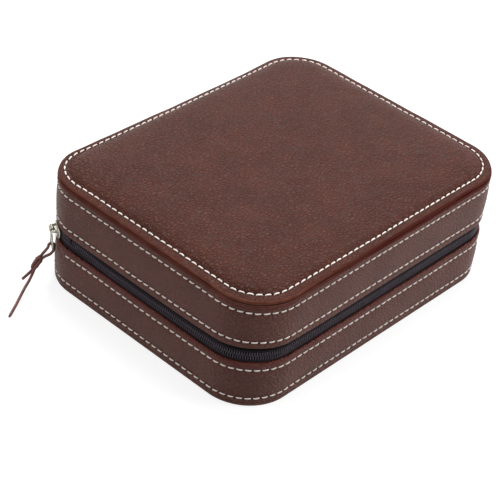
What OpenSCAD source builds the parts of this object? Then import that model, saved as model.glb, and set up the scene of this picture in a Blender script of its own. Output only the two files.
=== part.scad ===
// Zip-up leather travel case for four watches.
// X runs along the hinge side, Y from the front to the hinge side at +Y, and Z up.
// The origin is the middle of the face that the case rests on.

/* [Case] */
// Length of the case along its hinge side
case_l = 200; // [180:1:260]
// Width of the case, from the front wall to the hinge wall
case_w = 159; // [140:1:220]
// Radius of the upright corners, at the outside of the leather
corner_r = 27; // [24:0.5:32]
// Height of the base, from the table to the lower edge of the zip gap
base_h = 28; // [24:0.5:40]
// Height of the gap between the two leather walls, which the zip fills
zip_gap = 8.5; // [8.3:0.1:10]
// Height of the leather wall of the lid
lid_wall_h = 27; // [24:0.5:40]

/* [Layers] */
// Thickness of the outer leather
leather_t = 1.2; // [1:0.1:1.6]
// Thickness of the stiff board in the walls, the floor and the top
board_t = 2; // [1.5:0.1:3]
// Thickness of the suede lining
lining_t = 0.6; // [0.4:0.1:1]
// Outer radius of the bottom leather where it turns up into the wall
bottom_edge_r = 2.5; // [2:0.1:4]
// How far the boards stop short of the zip gap
board_stop = 1; // [0.5:0.1:2]

/* [Lid top] */
// Thickness of the welt ply under the top leather
welt_t = 1.8; // [1:0.1:2.5]
// How far the welt stands out past the wall leather
welt_proud = 0.3; // [0:0.1:0.6]
// Width of the flat border of the top, which carries the stitching
border_w = 8; // [6:0.5:12]
// Thickness of the top leather
top_t = 1.8; // [1.2:0.1:2.5]
// Height of the padded crown above the border
crown_h = 4.2; // [2:0.1:6]

/* [Zip] */
// Thickness of the woven tape
tape_t = 0.6; // [0.4:0.1:0.8]
// How far the tape reaches in behind the edge of the leather
tape_in = 8; // [6:0.5:9]
// Height of one row of coil teeth
coil_h = 2.3; // [2:0.1:2.4]
// Thickness of a row of coil teeth, across the wall
coil_t = 1.8; // [1.5:0.1:2]
// Depth of the coil behind the outside of the leather
coil_recess = 0.9; // [0.7:0.1:1.2]
// Open height along the middle of the closed zip
coil_split = 1; // [0.8:0.1:1.2]
// Angle past the back wall, round each back corner, at which the zip ends
zip_end = 26; // [20:1:28]
// Length of a zip stop along the tape, in degrees of the corner
stop_len = 3; // [2:0.5:4]
// Gap between the hinge leather and a zip stop, in degrees of the corner
spine_gap = 1; // [0.5:0.5:2]
// Depth of the hinge leather behind the outside of the walls
spine_sunk = 0.3; // [0:0.1:0.8]

/* [Slider] */
// Angle past the back wall, round the back left corner, where the slider sits
slider_at = 60; // [56:1:62]
// Length of the slider, in degrees of the corner
slider_len = 23; // [20:1:23]
// Thickness of the slider's two plates
plate_t = 1.2; // [0.8:0.1:1.4]
// Thickness of the neck between the plates
neck_t = 0.4; // [0.3:0.05:0.5]
// Running clearance between the slider and the zip
slide_clear = 0.3; // [0.2:0.05:0.35]
// Diameter of the bar that carries the pull
bar_d = 1.6; // [1.2:0.1:1.8]
// Height of the middle of the bar above the middle of the zip
bar_up = 1.25; // [0:0.05:1.5]

/* [Pull] */
// Running clearance between the bar and the eye of the pull
eye_clear = 0.1; // [0.05:0.05:0.3]
// Thickness of the metal of the pull
pull_t = 1.1; // [0.9:0.1:1.2]
// Length of the pull from the middle of the bar to its tip
pull_l = 13.5; // [12:0.5:16]
// Width of the pull
pull_w = 4.6; // [4:0.1:5]
// Width of the hole for the thong
thong_hole = 2.4; // [2.2:0.1:2.6]
// Diameter of the thong
lace_d = 1.6; // [1.2:0.1:1.6]
// Length of the thong's knot
knot_l = 9.5; // [7:0.5:12]
// Diameter of the thong's knot
knot_d = 4.6; // [4:0.1:6]

/* [Inside] */
// Thickness of the padded dividers
divider_t = 3; // [2:0.5:5]
// Height of the dividers above the lined floor
divider_h = 22; // [16:1:23]
// Clearance in the slots where the dividers cross
slot_clear = 0.3; // [0.2:0.1:0.5]
// Length of a watch pillow
pillow_l = 76; // [60:1:78]
// Width of a watch pillow
pillow_w = 54; // [40:1:56]
// Height of a watch pillow
pillow_h = 36; // [25:1:40]
// How much the sides of a pillow are drawn in between its corners
pillow_draw = 0.05; // [0:0.01:0.1]
// Clearance under a pillow
pillow_clear = 0.3; // [0.2:0.1:0.5]
// Thickness of the pad inside the lid
lid_pad_t = 6; // [3:0.5:8]
// Gap between the pad inside the lid and the lined wall
lid_pad_gap = 5; // [3:0.5:12]

/* [Hidden] */

// A sliver by which a cut passes the face that it opens
over = 1;
round_fn = 96;

// Half sizes of the rectangle on which the centres of the four corners lie
run_x = case_l / 2 - corner_r;
run_y = case_w / 2 - corner_r;

// Levels of the base
bottom_z = leather_t;
floor_z = bottom_z + board_t;
inside_z = floor_z + lining_t;
base_board_z = base_h - board_stop;
tape_low_z = base_h - tape_in;

// Levels of the zip
zip_mid = base_h + zip_gap / 2;
coil_low_top = zip_mid - coil_split / 2;
coil_low_z = coil_low_top - coil_h;
coil_up_z = zip_mid + coil_split / 2;
coil_up_top = coil_up_z + coil_h;

// Levels of the lid
lid_z = base_h + zip_gap;
lid_board_z = lid_z + board_stop;
tape_up_z = lid_z + tape_in;
lid_wall_top = lid_z + lid_wall_h;
lid_board_top = lid_wall_top - board_t;
welt_top = lid_wall_top + welt_t;
border_top = welt_top + top_t;
ceiling_z = lid_board_top - lining_t;

// Depths from the outside of the wall leather
tape_u = leather_t;
board_in = leather_t + tape_t;
lining_u = board_in + board_t;
inner_u = lining_u + lining_t;
coil_in = coil_recess + coil_t;

// Radii from the middle of a corner, for what lies in the zip gap
coil_r_out = corner_r - coil_recess;
coil_r_in = coil_r_out - coil_t;
plate_r = coil_r_out + slide_clear;
plate_r_out = plate_r + plate_t;
shoe_r_out = coil_r_in - slide_clear;
shoe_r = shoe_r_out - plate_t;

// The slider and the bar of its bridge
slider_side = 0.45;
slider_z = base_h + slider_side;
slider_h = zip_gap - 2 * slider_side;
eye_r = bar_d / 2 + eye_clear + pull_t;
bar_r = plate_r_out + slide_clear + eye_r;
bar_z = zip_mid + bar_up;
bridge_post = 1.1;
bar_len = pull_w + 2 * (slide_clear + bridge_post);
slider_dir = 90 + slider_at;

// The hole of the pull and the bend of the thong that goes through it
rim_h = 2.6;
tip_z = bar_z - pull_l;
rim_top = tip_z + rim_h;
hole_h = 4;
bight_r = pull_t / 2 + slide_clear / 2 + lace_d / 2;
bight_z = rim_top - 0.4;

// Routes of the thong's two ends, as distance out from the middle of the corner,
// distance along the wall away from the hinge, and height
short_route = [
    [31.4, 0, 22.2], [31.6, -0.2, 21], [32.2, -0.6, 19.6], [33, -0.9, 18.2], [34, -1, 16.8],
    [35, -0.9, 15.5], [36, -0.6, 14.1], [36.9, -0.2, 12.7], [37.8, 0.2, 11.2], [38.8, 0.7, 9.8],
    [39.8, 1.2, 8.5], [41, 1.7, 7.4], [42.4, 2.2, 6.4], [44.1, 2.8, 5.3], [45.9, 3.5, 4.1]
];
long_route = [
    [28.4, 0, 22.2], [28.4, 0.3, 21], [28.7, 0.7, 19.8], [29.4, 1, 18.6], [30.5, 1.1, 17.5],
    [31.8, 0.9, 16.6], [33.1, 0.5, 15.7], [34.4, 0.3, 14.6], [35.6, 0.4, 13.3],
    [36.8, 0.7, 11.9], [37.9, 1.2, 10.5], [39, 2, 9.1], [40.2, 3.4, 7.6], [41.6, 5.3, 6.3],
    [43.4, 7.8, 5.3], [45.6, 10.8, 4.4], [47.7, 14, 3.6], [49.9, 17.5, 2.8], [52.1, 21.1, 2.1],
    [54.5, 24.8, 1.4], [57.2, 29, 0.8]
];
knot_from = [34.8, -0.5, 15.8];
knot_to = [40.2, 1.4, 7.9];

// Pillow places, in the middle of the four compartments
cell_x = (case_l / 2 - inner_u + divider_t / 2) / 2;
cell_y = (case_w / 2 - inner_u + divider_t / 2) / 2;

leather_c = [0.36, 0.22, 0.2];
edge_c = [0.32, 0.14, 0.1];
board_c = [0.55, 0.45, 0.33];
suede_c = [0.62, 0.52, 0.42];
tape_c = [0.11, 0.1, 0.11];
coil_c = [0.16, 0.15, 0.17];
metal_c = [0.78, 0.77, 0.72];
lace_c = [0.36, 0.17, 0.15];
foam_c = [0.85, 0.83, 0.76];

// Plan of the case, drawn in from the outside of the walls by u
module plan(u) {
    r = corner_r - u;
    square([2 * (run_x + r), 2 * run_y], center = true);
    square([2 * run_x, 2 * (run_y + r)], center = true);
    for (sx = [-1, 1], sy = [-1, 1])
        translate([sx * run_x, sy * run_y])
            circle(r = r, $fn = round_fn);
}

module plate(z0, z1, u) {
    translate([0, 0, z0])
        linear_extrude(z1 - z0)
            plan(u);
}

module wall(z0, z1, u0, u1) {
    difference() {
        plate(z0, z1, u0);
        plate(z0 - over, z1 + over, u1);
    }
}

// Carries a profile round one corner. The profile's x is the distance from the
// middle of the corner and its y is the height. Corner 0 is at the back right.
// The turn starts at the end that meets a straight wall, where it has one.
module corner(quarter, from, to) {
    sx = (quarter == 0 || quarter == 3) ? 1 : -1;
    sy = (quarter < 2) ? 1 : -1;
    start = (from > 0 && to == 90) ? to : from;
    turn = (start == from) ? to - from : from - to;
    translate([sx * run_x, sy * run_y, 0])
        rotate([0, 0, quarter * 90 + start])
            rotate_extrude(angle = turn, $fn = round_fn)
                children();
}

// Carries the same profile along one straight wall. Side 0 is the right one.
module side(quarter) {
    out = (quarter % 2 == 0) ? run_x : run_y;
    len = 2 * ((quarter % 2 == 0) ? run_y : run_x);
    rotate([0, 0, quarter * 90])
        translate([out, 0, 0])
            rotate([90, 0, 0])
                linear_extrude(len, center = true)
                    children();
}

module all_round() {
    for (q = [0:3]) {
        corner(q, 0, 90)
            children();
        side(q)
            children();
    }
}

// From the back left corner, past the left, front and right walls, to the back right one
module three_sides(with_first_corner) {
    if (with_first_corner)
        corner(1, zip_end, 90)
            children();
    for (q = [2:3])
        corner(q, 0, 90)
            children();
    for (q = [2:4])
        side(q)
            children();
    corner(0, 0, 90 - zip_end)
        children();
}

module strip(u0, u1, z0, z1) {
    translate([corner_r - u1, z0])
        square([u1 - u0, z1 - z0]);
}

// Point at fraction f of the way round the turned-up edge of the bottom leather
function edge_pt(r, f) = [
    corner_r - bottom_edge_r + r * cos(90 * f),
    bottom_edge_r - r * sin(90 * f)
];

module base_bottom_leather() {
    steps = 8;
    color(leather_c) {
        plate(0, leather_t, bottom_edge_r);
        all_round()
            polygon(concat(
                [for (i = [0:steps]) edge_pt(bottom_edge_r, i / steps)],
                [for (i = [steps:-1:0]) edge_pt(bottom_edge_r - leather_t, i / steps)]
            ));
    }
}

module base_floor_board() {
    color(board_c)
        plate(bottom_z, floor_z, bottom_edge_r);
}

module base_wall_board() {
    color(board_c) {
        wall(floor_z, tape_low_z, leather_t, lining_u);
        wall(tape_low_z, base_board_z, board_in, lining_u);
    }
}

module base_wall_leather() {
    color(leather_c)
        wall(bottom_edge_r, base_h, 0, leather_t);
}

module base_lining() {
    color(suede_c) {
        wall(floor_z, base_board_z, lining_u, inner_u);
        plate(floor_z, inside_z, lining_u);
    }
}

module divider_long() {
    len = case_l - 2 * inner_u - 2 * slot_clear;
    gap = divider_t + 2 * slot_clear;
    color(suede_c)
        difference() {
            translate([-len / 2, -divider_t / 2, inside_z])
                cube([len, divider_t, divider_h]);
            translate([-gap / 2, -divider_t / 2 - over, inside_z + divider_h / 2])
                cube([gap, divider_t + 2 * over, divider_h]);
        }
}

module divider_cross() {
    len = case_w - 2 * inner_u - 2 * slot_clear;
    gap = divider_t + 2 * slot_clear;
    color(suede_c)
        difference() {
            translate([-divider_t / 2, -len / 2, inside_z])
                cube([divider_t, len, divider_h]);
            translate([-divider_t / 2 - over, -gap / 2, inside_z - over])
                cube([divider_t + 2 * over, gap, divider_h / 2 + slot_clear + over]);
        }
}

// Leather strip that joins the two halves along the back and round to the zip's ends
module hinge_spine() {
    reach = zip_end - stop_len - spine_gap;
    color(leather_c) {
        corner(1, 0, reach)
            spine_strip();
        side(1)
            spine_strip();
        corner(0, 90 - reach, 90)
            spine_strip();
    }
}

module spine_strip() {
    strip(spine_sunk, spine_sunk + leather_t, base_h, lid_z - slide_clear);
}

module zip_tape_lower() {
    color(tape_c)
        three_sides(true)
            strip(tape_u, board_in, tape_low_z, coil_low_z);
}

module zip_coil_lower() {
    color(coil_c)
        three_sides(true)
            strip(coil_recess, coil_in, coil_low_z, coil_low_top);
}

// Metal clip over the end of one row of teeth
module coil_clip(z0, z1) {
    corner(0, 90 - zip_end, 90 - zip_end + stop_len)
        strip(coil_recess - slide_clear, coil_in, z0, z1);
}

module zip_stop_lower() {
    color(metal_c)
        coil_clip(coil_low_z, coil_low_top);
}

module zip_stop_upper() {
    color(metal_c)
        coil_clip(coil_up_z, coil_up_top);
}

// Upper tape and teeth round the corner where the slider is parked
module zip_tape_corner() {
    color(tape_c)
        corner(1, zip_end, 90)
            strip(tape_u, board_in, coil_up_top, lid_z - slide_clear);
}

module zip_coil_corner() {
    color(coil_c)
        corner(1, zip_end, 90)
            strip(coil_recess, coil_in, coil_up_z, coil_up_top);
}

module zip_end_stop() {
    color(metal_c)
        corner(1, zip_end - stop_len, zip_end)
            strip(coil_recess - slide_clear, coil_in, coil_low_z, coil_up_top);
}

// The lid's tape and teeth start past the parked corner by the running clearance
module lid_zip_run() {
    difference() {
        three_sides(false)
            children();
        translate([-case_l / 2 - over, run_y - slide_clear, base_h])
            cube([2 * corner_r, corner_r, lid_wall_h]);
    }
}

module zip_tape_upper() {
    color(tape_c)
        lid_zip_run()
            strip(tape_u, board_in, coil_up_top, tape_up_z);
}

module zip_coil_upper() {
    color(coil_c)
        lid_zip_run()
            strip(coil_recess, coil_in, coil_up_z, coil_up_top);
}

module lid_wall_board() {
    color(board_c) {
        wall(lid_board_z, tape_up_z, board_in, lining_u);
        wall(tape_up_z, lid_board_top, leather_t, lining_u);
    }
}

module lid_wall_leather() {
    color(leather_c)
        wall(lid_z, lid_wall_top, 0, leather_t);
}

module lid_top_board() {
    color(board_c)
        plate(lid_board_top, lid_wall_top, leather_t);
}

// Profile of a ply from r0 to r1 whose outer edge is rolled to a half round
module rolled_edge(r0, r1, z, t) {
    translate([r0, z])
        square([r1 - t / 2 - r0, t]);
    translate([r1 - t / 2, z + t / 2])
        circle(d = t, $fn = 32);
}

// Ply with a rounded outer edge between the wall and the top leather
module lid_welt() {
    color(edge_c)
        all_round()
            rolled_edge(corner_r - border_w, corner_r + welt_proud, lid_wall_top, welt_t);
}

// Height of the underside or top of the crown, a quarter ellipse from the border
// to the level middle, at fraction f of the way round it
function crown_pt(f, lift) = [
    (corner_r - border_w) * cos(90 * f),
    lift + crown_h * sin(90 * f)
];

crown_steps = 10;

module lid_top_pad() {
    inner = [for (i = [0:crown_steps]) crown_pt(i / crown_steps, welt_top)];
    color(foam_c) {
        all_round()
            polygon(concat([[0, lid_wall_top], [corner_r - border_w, lid_wall_top]], inner));
        translate([0, 0, lid_wall_top])
            linear_extrude(welt_t + crown_h)
                square([2 * run_x, 2 * run_y], center = true);
    }
}

module lid_top_leather() {
    inner = [for (i = [0:crown_steps]) crown_pt(i / crown_steps, welt_top)];
    outer = [for (i = [crown_steps:-1:0]) crown_pt(i / crown_steps, border_top)];
    color(leather_c) {
        all_round() {
            rolled_edge(corner_r - border_w, corner_r, welt_top, top_t);
            polygon(concat(inner, outer));
        }
        translate([0, 0, welt_top + crown_h])
            linear_extrude(top_t)
                square([2 * run_x, 2 * run_y], center = true);
    }
}

module lid_lining() {
    color(suede_c) {
        wall(lid_board_z, lid_board_top, lining_u, inner_u);
        plate(ceiling_z, lid_board_top, lining_u);
    }
}

// Points of a closed cushion of given half sizes that stands on z = 0. Each ring is a
// rounded rectangle with its sides drawn in, and the rings follow a rounded side.
function power(v, p) = sign(v) * pow(abs(v), p);
function cushion_ring(a, b, draw, z, s, n) = [
    for (j = [0:n - 1])
        let (
            x = power(cos(360 * j / n), 0.2),
            y = power(sin(360 * j / n), 0.2),
            full = 1 - draw / 2
        )
        [a * s * x * (1 - draw * (1 - y * y)) / full, b * s * y * (1 - draw * (1 - x * x)) / full, z]
];
function cushion_rings(a, b, h, draw, n, m) = [
    for (i = [0:m])
        let (t = -90 + 180 * i / m)
        cushion_ring(a, b, draw, h / 2 + h / 2 * power(sin(t), 0.8), 0.14 + 0.86 * power(cos(t), 0.36), n)
];

module cushion(a, b, h, draw, n, m) {
    rings = cushion_rings(a, b, h, draw, n, m);
    points = [for (ring = rings, p = ring) p];
    faces = concat(
        [[for (j = [0:n - 1]) j]],
        [for (i = [0:m - 1], j = [0:n - 1]) [
            i * n + j, (i + 1) * n + j, (i + 1) * n + (j + 1) % n]],
        [for (i = [0:m - 1], j = [0:n - 1]) [
            i * n + j, (i + 1) * n + (j + 1) % n, i * n + (j + 1) % n]],
        [[for (j = [n - 1:-1:0]) m * n + j]]
    );
    polyhedron(points = points, faces = faces, convexity = 4);
}

// Soft pad on the inside of the lid, crowned downwards
module lid_inner_pad() {
    a = case_l / 2 - inner_u - lid_pad_gap;
    b = case_w / 2 - inner_u - lid_pad_gap;
    r = corner_r - inner_u - lid_pad_gap;
    steps = 8;
    edge = [for (i = [0:steps]) [
        r - lid_pad_t / 2 + lid_pad_t / 2 * cos(90 * i / steps),
        ceiling_z - lid_pad_t / 2 - lid_pad_t / 2 * sin(90 * i / steps)]];
    color(suede_c) {
        all_round()
            polygon(concat([[0, ceiling_z], [r, ceiling_z]], edge, [[0, ceiling_z - lid_pad_t]]));
        translate([0, 0, ceiling_z - lid_pad_t])
            linear_extrude(lid_pad_t)
                square([2 * (a - r), 2 * (b - r)], center = true);
    }
}

// Slider: outer plate with a bridge, inner plate, and the neck that runs between the teeth
module zip_slider() {
    half = slider_len / 2;
    color(metal_c) {
        corner(1, slider_at - half, slider_at + half)
            translate([plate_r, slider_z])
                square([plate_t, slider_h]);
        corner(1, slider_at - half, slider_at + half)
            translate([shoe_r, slider_z])
                square([plate_t, slider_h]);
        corner(1, slider_at - half / 3, slider_at + half / 3)
            translate([shoe_r, zip_mid - neck_t / 2])
                square([plate_r_out - shoe_r, neck_t]);
        on_slider() {
            translate([bar_r, 0, bar_z])
                rotate([90, 0, 0])
                    cylinder(d = bar_d, h = bar_len, center = true, $fn = 32);
            for (s = [-1, 1])
                translate([plate_r_out - plate_t / 2, s * (bar_len - bridge_post) / 2 - bridge_post / 2,
                    bar_z - bar_d / 2])
                    cube([bar_r - plate_r_out + plate_t / 2, bridge_post, bar_d]);
        }
    }
}

// Frame at the slider: x points out from the middle of the corner, y along the wall
module on_slider() {
    translate([-run_x, run_y, 0])
        rotate([0, 0, slider_dir])
            children();
}

// Flat tab whose top is rolled round the bar of the slider
module slider_pull() {
    color(metal_c)
        on_slider()
            difference() {
                union() {
                    translate([bar_r, 0, bar_z])
                        rotate([90, 0, 0])
                            cylinder(r = eye_r, h = pull_w, center = true, $fn = 48);
                    translate([bar_r - pull_t / 2, -pull_w / 2, tip_z + pull_w / 2])
                        cube([pull_t, pull_w, pull_l - pull_w / 2]);
                    translate([bar_r - pull_t / 2, 0, tip_z + pull_w / 2])
                        rotate([0, 90, 0])
                            cylinder(d = pull_w, h = pull_t, $fn = 48);
                }
                translate([bar_r, 0, bar_z])
                    rotate([90, 0, 0])
                        cylinder(r = bar_d / 2 + eye_clear, h = pull_w + 2 * over, center = true, $fn = 48);
                translate([bar_r - pull_t, -thong_hole / 2, rim_top])
                    cube([2 * pull_t, thong_hole, hole_h]);
            }
}

// Bend of the thong through the hole of the pull, open downwards
module thong_bight() {
    color(lace_c)
        on_slider()
            translate([bar_r, 0, bight_z])
                rotate([90, 0, 0])
                    rotate_extrude(angle = 180, $fn = 48)
                        translate([bight_r, 0])
                            circle(d = lace_d, $fn = 24);
}

// Direction of a route at its point i
function route_dir(p, i) =
    let (d = p[min(i + 1, len(p) - 1)] - p[max(i - 1, 0)])
    d / norm(d);
function unit(v) = v / norm(v);
lace_sides = 8;
lace_ref = [0.3, -0.8, 0.5];
function lace_ring(p, i) =
    let (
        d = route_dir(p, i),
        side_v = unit(cross(d, lace_ref)),
        up_v = cross(side_v, d)
    )
    [for (j = [0:lace_sides - 1])
        p[i] + lace_d / 2 * (cos(360 * j / lace_sides) * side_v + sin(360 * j / lace_sides) * up_v)];

// Tube swept along a route
module lace(route) {
    n = lace_sides;
    m = len(route);
    points = [for (i = [0:m - 1], p = lace_ring(route, i)) p];
    faces = concat(
        [[for (j = [0:n - 1]) j]],
        [for (i = [0:m - 2], j = [0:n - 1]) [
            i * n + j, (i + 1) * n + j, (i + 1) * n + (j + 1) % n]],
        [for (i = [0:m - 2], j = [0:n - 1]) [
            i * n + j, (i + 1) * n + (j + 1) % n, i * n + (j + 1) % n]],
        [[for (j = [n - 1:-1:0]) (m - 1) * n + j]]
    );
    on_slider()
        polyhedron(points = points, faces = faces, convexity = 6);
}

module thong_lace_short() {
    color(lace_c)
        lace(short_route);
}

module thong_lace_long() {
    color(lace_c)
        lace(long_route);
}

// Knot that gathers the two ends, a body turned from half an oval
module thong_knot() {
    steps = 16;
    axis = knot_to - knot_from;
    tilt = acos(axis[2] / norm(axis));
    turn = atan2(axis[1], axis[0]);
    color(lace_c)
        on_slider()
            translate((knot_from + knot_to) / 2)
                rotate([0, tilt, turn])
                    rotate_extrude($fn = 48)
                        polygon([for (i = [0:steps]) [
                            knot_d / 2 * sin(180 * i / steps),
                            -knot_l / 2 * cos(180 * i / steps)]]);
}

module pillow(sx, sy) {
    color(suede_c)
        translate([sx * cell_x, sy * cell_y, inside_z + pillow_clear])
            cushion(pillow_l / 2, pillow_w / 2, pillow_h, pillow_draw, 32, 12);
}

module pillow_front_left() {
    pillow(-1, -1);
}

module pillow_front_right() {
    pillow(1, -1);
}

module pillow_back_left() {
    pillow(-1, 1);
}

module pillow_back_right() {
    pillow(1, 1);
}

base_bottom_leather();
base_floor_board();
base_wall_board();
base_wall_leather();
base_lining();
divider_long();
divider_cross();
hinge_spine();
zip_tape_lower();
zip_coil_lower();
zip_stop_lower();
zip_tape_corner();
zip_coil_corner();
zip_end_stop();
lid_wall_board();
lid_wall_leather();
lid_top_board();
lid_welt();
lid_top_pad();
lid_top_leather();
lid_lining();
lid_inner_pad();
zip_tape_upper();
zip_coil_upper();
zip_stop_upper();
zip_slider();
slider_pull();
thong_bight();
thong_lace_short();
thong_lace_long();
thong_knot();
pillow_front_left();
pillow_front_right();
pillow_back_left();
pillow_back_right();
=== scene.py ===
"""Zip-up leather travel case for four watches, with its finishes.

Sizes are in metres. X runs along the hinge side, Y from the front to the hinge side, Z up.
Most pieces are profiles carried round the case. Distance round the case is measured on the
outside of the walls, from the middle of the back wall towards the left wall, and an inset is
a depth from that outside.
"""

import math

import bpy
import numpy as np
from mathutils import Matrix, Vector


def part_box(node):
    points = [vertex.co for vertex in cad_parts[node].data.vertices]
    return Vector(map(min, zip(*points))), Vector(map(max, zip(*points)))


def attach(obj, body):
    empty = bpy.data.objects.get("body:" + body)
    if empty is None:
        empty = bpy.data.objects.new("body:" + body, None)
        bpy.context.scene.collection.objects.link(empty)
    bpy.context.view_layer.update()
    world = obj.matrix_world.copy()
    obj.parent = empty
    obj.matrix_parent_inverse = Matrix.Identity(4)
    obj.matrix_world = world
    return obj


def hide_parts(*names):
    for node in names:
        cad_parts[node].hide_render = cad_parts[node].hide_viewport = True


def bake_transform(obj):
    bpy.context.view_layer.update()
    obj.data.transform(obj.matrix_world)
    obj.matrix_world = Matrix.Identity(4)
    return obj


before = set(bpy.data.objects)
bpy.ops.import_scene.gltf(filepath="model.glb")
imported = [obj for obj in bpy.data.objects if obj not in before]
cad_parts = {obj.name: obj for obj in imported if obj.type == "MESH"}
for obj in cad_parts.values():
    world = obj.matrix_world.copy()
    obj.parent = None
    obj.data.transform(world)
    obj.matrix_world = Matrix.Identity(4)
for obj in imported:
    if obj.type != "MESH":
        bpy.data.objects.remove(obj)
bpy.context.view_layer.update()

MM = 0.001

# Sizes of the case, from the frame
base_low, base_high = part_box("base_wall_leather")
lid_low, lid_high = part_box("lid_wall_leather")
HALF_L = base_high.x
HALF_W = base_high.y
BASE_TOP = base_high.z
LID_BOTTOM = lid_low.z
LID_TOP = lid_high.z
WELT_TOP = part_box("lid_welt")[1].z
CROWN_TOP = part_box("lid_top_leather")[1].z
CORNER_R = 27 * MM
RUN_X = HALF_L - CORNER_R
RUN_Y = HALF_W - CORNER_R

# Layers of the walls
LEATHER = 1.2 * MM
TAPE = 0.6 * MM
BOARD_IN = LEATHER + TAPE
LINING_U = BOARD_IN + 2 * MM
INNER_U = LINING_U + 0.6 * MM
BOTTOM_R = 2.5 * MM
EDGE_R = 1.3 * MM
FLOOR_TOP = 3.8 * MM

# Columns of points round the case, six for each stitch of the long rows
STITCHES_ROUND = 154
COLUMNS = 6 * STITCHES_ROUND

QUARTER = math.pi / 2
CORNER_X = RUN_X * np.array([0, -1, -1, -1, -1, 1, 1, 1, 1, 0])
CORNER_Y = RUN_Y * np.array([1, 1, 1, -1, -1, -1, -1, 1, 1, 1])
CORNER_ANGLE = QUARTER * np.array([1, 1, 2, 2, 3, 3, 4, 4, 5, 5])


def knots(inset):
    """Distances, on the outline drawn in by inset, at which straights and corners meet: each
    step is the length of a straight, or a quarter turn times the radius left at that inset."""
    straight = np.hypot(np.diff(CORNER_X), np.diff(CORNER_Y))
    turn = (CORNER_R - inset) * np.diff(CORNER_ANGLE)
    return np.concatenate([[0], np.cumsum(straight + turn)])


KNOTS = knots(0)
GIRTH = KNOTS[-1]
ALL_ROUND = np.arange(COLUMNS) * GIRTH / COLUMNS


def around(s, inset, height):
    """Points at distance s round the case: the middle of the nearest corner, plus the corner's
    radius less the inset along the outward direction there, at the given height."""
    at = np.mod(s, GIRTH)
    angle = np.interp(at, KNOTS, CORNER_ANGLE)
    reach = CORNER_R - inset
    x = np.interp(at, KNOTS, CORNER_X) + reach * np.cos(angle)
    y = np.interp(at, KNOTS, CORNER_Y) + reach * np.sin(angle)
    return np.stack(np.broadcast_arrays(x, y, height), axis=-1)


def outward(s):
    """Unit vectors out of the wall at distance s."""
    angle = np.interp(np.mod(s, GIRTH), KNOTS, CORNER_ANGLE)
    return np.stack([np.cos(angle), np.sin(angle), 0 * angle], axis=-1)


def true_inset(x, y):
    """Distance in from the outline of any point of the plan: the corner's radius less the
    distance past the rectangle of corner middles, or plus the depth inside that rectangle."""
    dx = np.abs(x) - RUN_X
    dy = np.abs(y) - RUN_Y
    past = np.hypot(np.maximum(dx, 0), np.maximum(dy, 0))
    inside = np.minimum(np.maximum(dx, dy), 0)
    return CORNER_R - past - inside


# Inset from which a sheet's rings shrink towards the middle instead of being drawn in
SHRINK_FROM = 20 * MM


def plan_ring(s, inset, height):
    """Points of a sheet that covers the plan: drawn in like a wall near the outline, and from
    SHRINK_FROM on the ring there scaled down evenly, to nothing at half the width."""
    drawn = np.minimum(inset, SHRINK_FROM)
    share = np.maximum(inset - SHRINK_FROM, 0) / (HALF_W - SHRINK_FROM)
    points = around(s, drawn, height)
    points[..., :2] *= (1 - share)[..., None]
    return points


def sway(s, waves, size):
    """Slow unevenness round the case, as of a line guided by hand: a sum of sine waves, each of
    a whole number of periods, over the root of their number."""
    turn = 2 * math.pi * s / GIRTH
    total = sum(np.sin(k * turn + 1.7 * k) for k in waves)
    return size * total / math.sqrt(len(waves))


def bump(x, width):
    """Bell curve of height one about zero."""
    return np.exp(-(x / width) ** 2)


def ease(x):
    """Smooth step from zero to one."""
    x = np.clip(x, 0, 1)
    return x * x * (3 - 2 * x)


def power(x, exponent):
    """Value raised to a power in size, with its sign kept. Sines and cosines raised so make
    rounded squares out of circles."""
    return np.sign(x) * np.abs(x) ** exponent


def circle(count):
    """Angles evenly spaced round a circle."""
    return 2 * math.pi * np.arange(count) / count


def hole_wave(share):
    """One at the holes between the stitches of a row, zero at the stitches' middles."""
    return 0.5 + 0.5 * np.cos(2 * math.pi * share)


# Meshes

def grid_quads(rows, cols, wrap_rows):
    """Corner numbers of the quads between neighbours of a grid of points held row by row. Each
    row is a closed ring, and the last row joins the first where the rows wrap."""
    i = np.arange(rows if wrap_rows else rows - 1)[:, None]
    j = np.arange(cols)[None, :]
    i2 = (i + 1) % rows
    j2 = (j + 1) % cols
    quads = np.stack([i * cols + j, i * cols + j2, i2 * cols + j2, i2 * cols + j], axis=-1)
    return quads.reshape(-1, 4)


def run_length(points):
    """Distance along a line of points, with the step that closes it at the end."""
    closed = np.concatenate([points, points[:1]])
    steps = np.linalg.norm(np.diff(closed, axis=0), axis=1)
    return np.concatenate([[0], np.cumsum(steps)])


def grid_uv(grid, wrap_rows):
    """UV of the corners of grid_quads, in metres: the distance along the middle row, and the
    distance across the rows at the first column."""
    rows, cols = grid.shape[:2]
    u = run_length(grid[rows // 2])
    v = run_length(grid[:, 0])
    i = np.arange(rows if wrap_rows else rows - 1)[:, None]
    j = np.arange(cols)[None, :]
    us = np.stack(np.broadcast_arrays(u[j], u[j + 1], u[j + 1], u[j] + 0 * i), axis=-1)
    vs = np.stack(np.broadcast_arrays(v[i] + 0 * j, v[i], v[i + 1], v[i + 1]), axis=-1)
    return np.stack([us, vs], axis=-1).reshape(-1, 2)


def volume(points, quads):
    """Six times the signed volume inside the quads: the sum of the triple products of their
    two triangles."""
    a, b, c, d = (points[quads[:, k]] for k in range(4))
    return (np.cross(a, b) * c).sum() + (np.cross(a, c) * d).sum()


def link(thing):
    """Puts an object in the scene."""
    bpy.context.scene.collection.objects.link(thing)
    return thing


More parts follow.
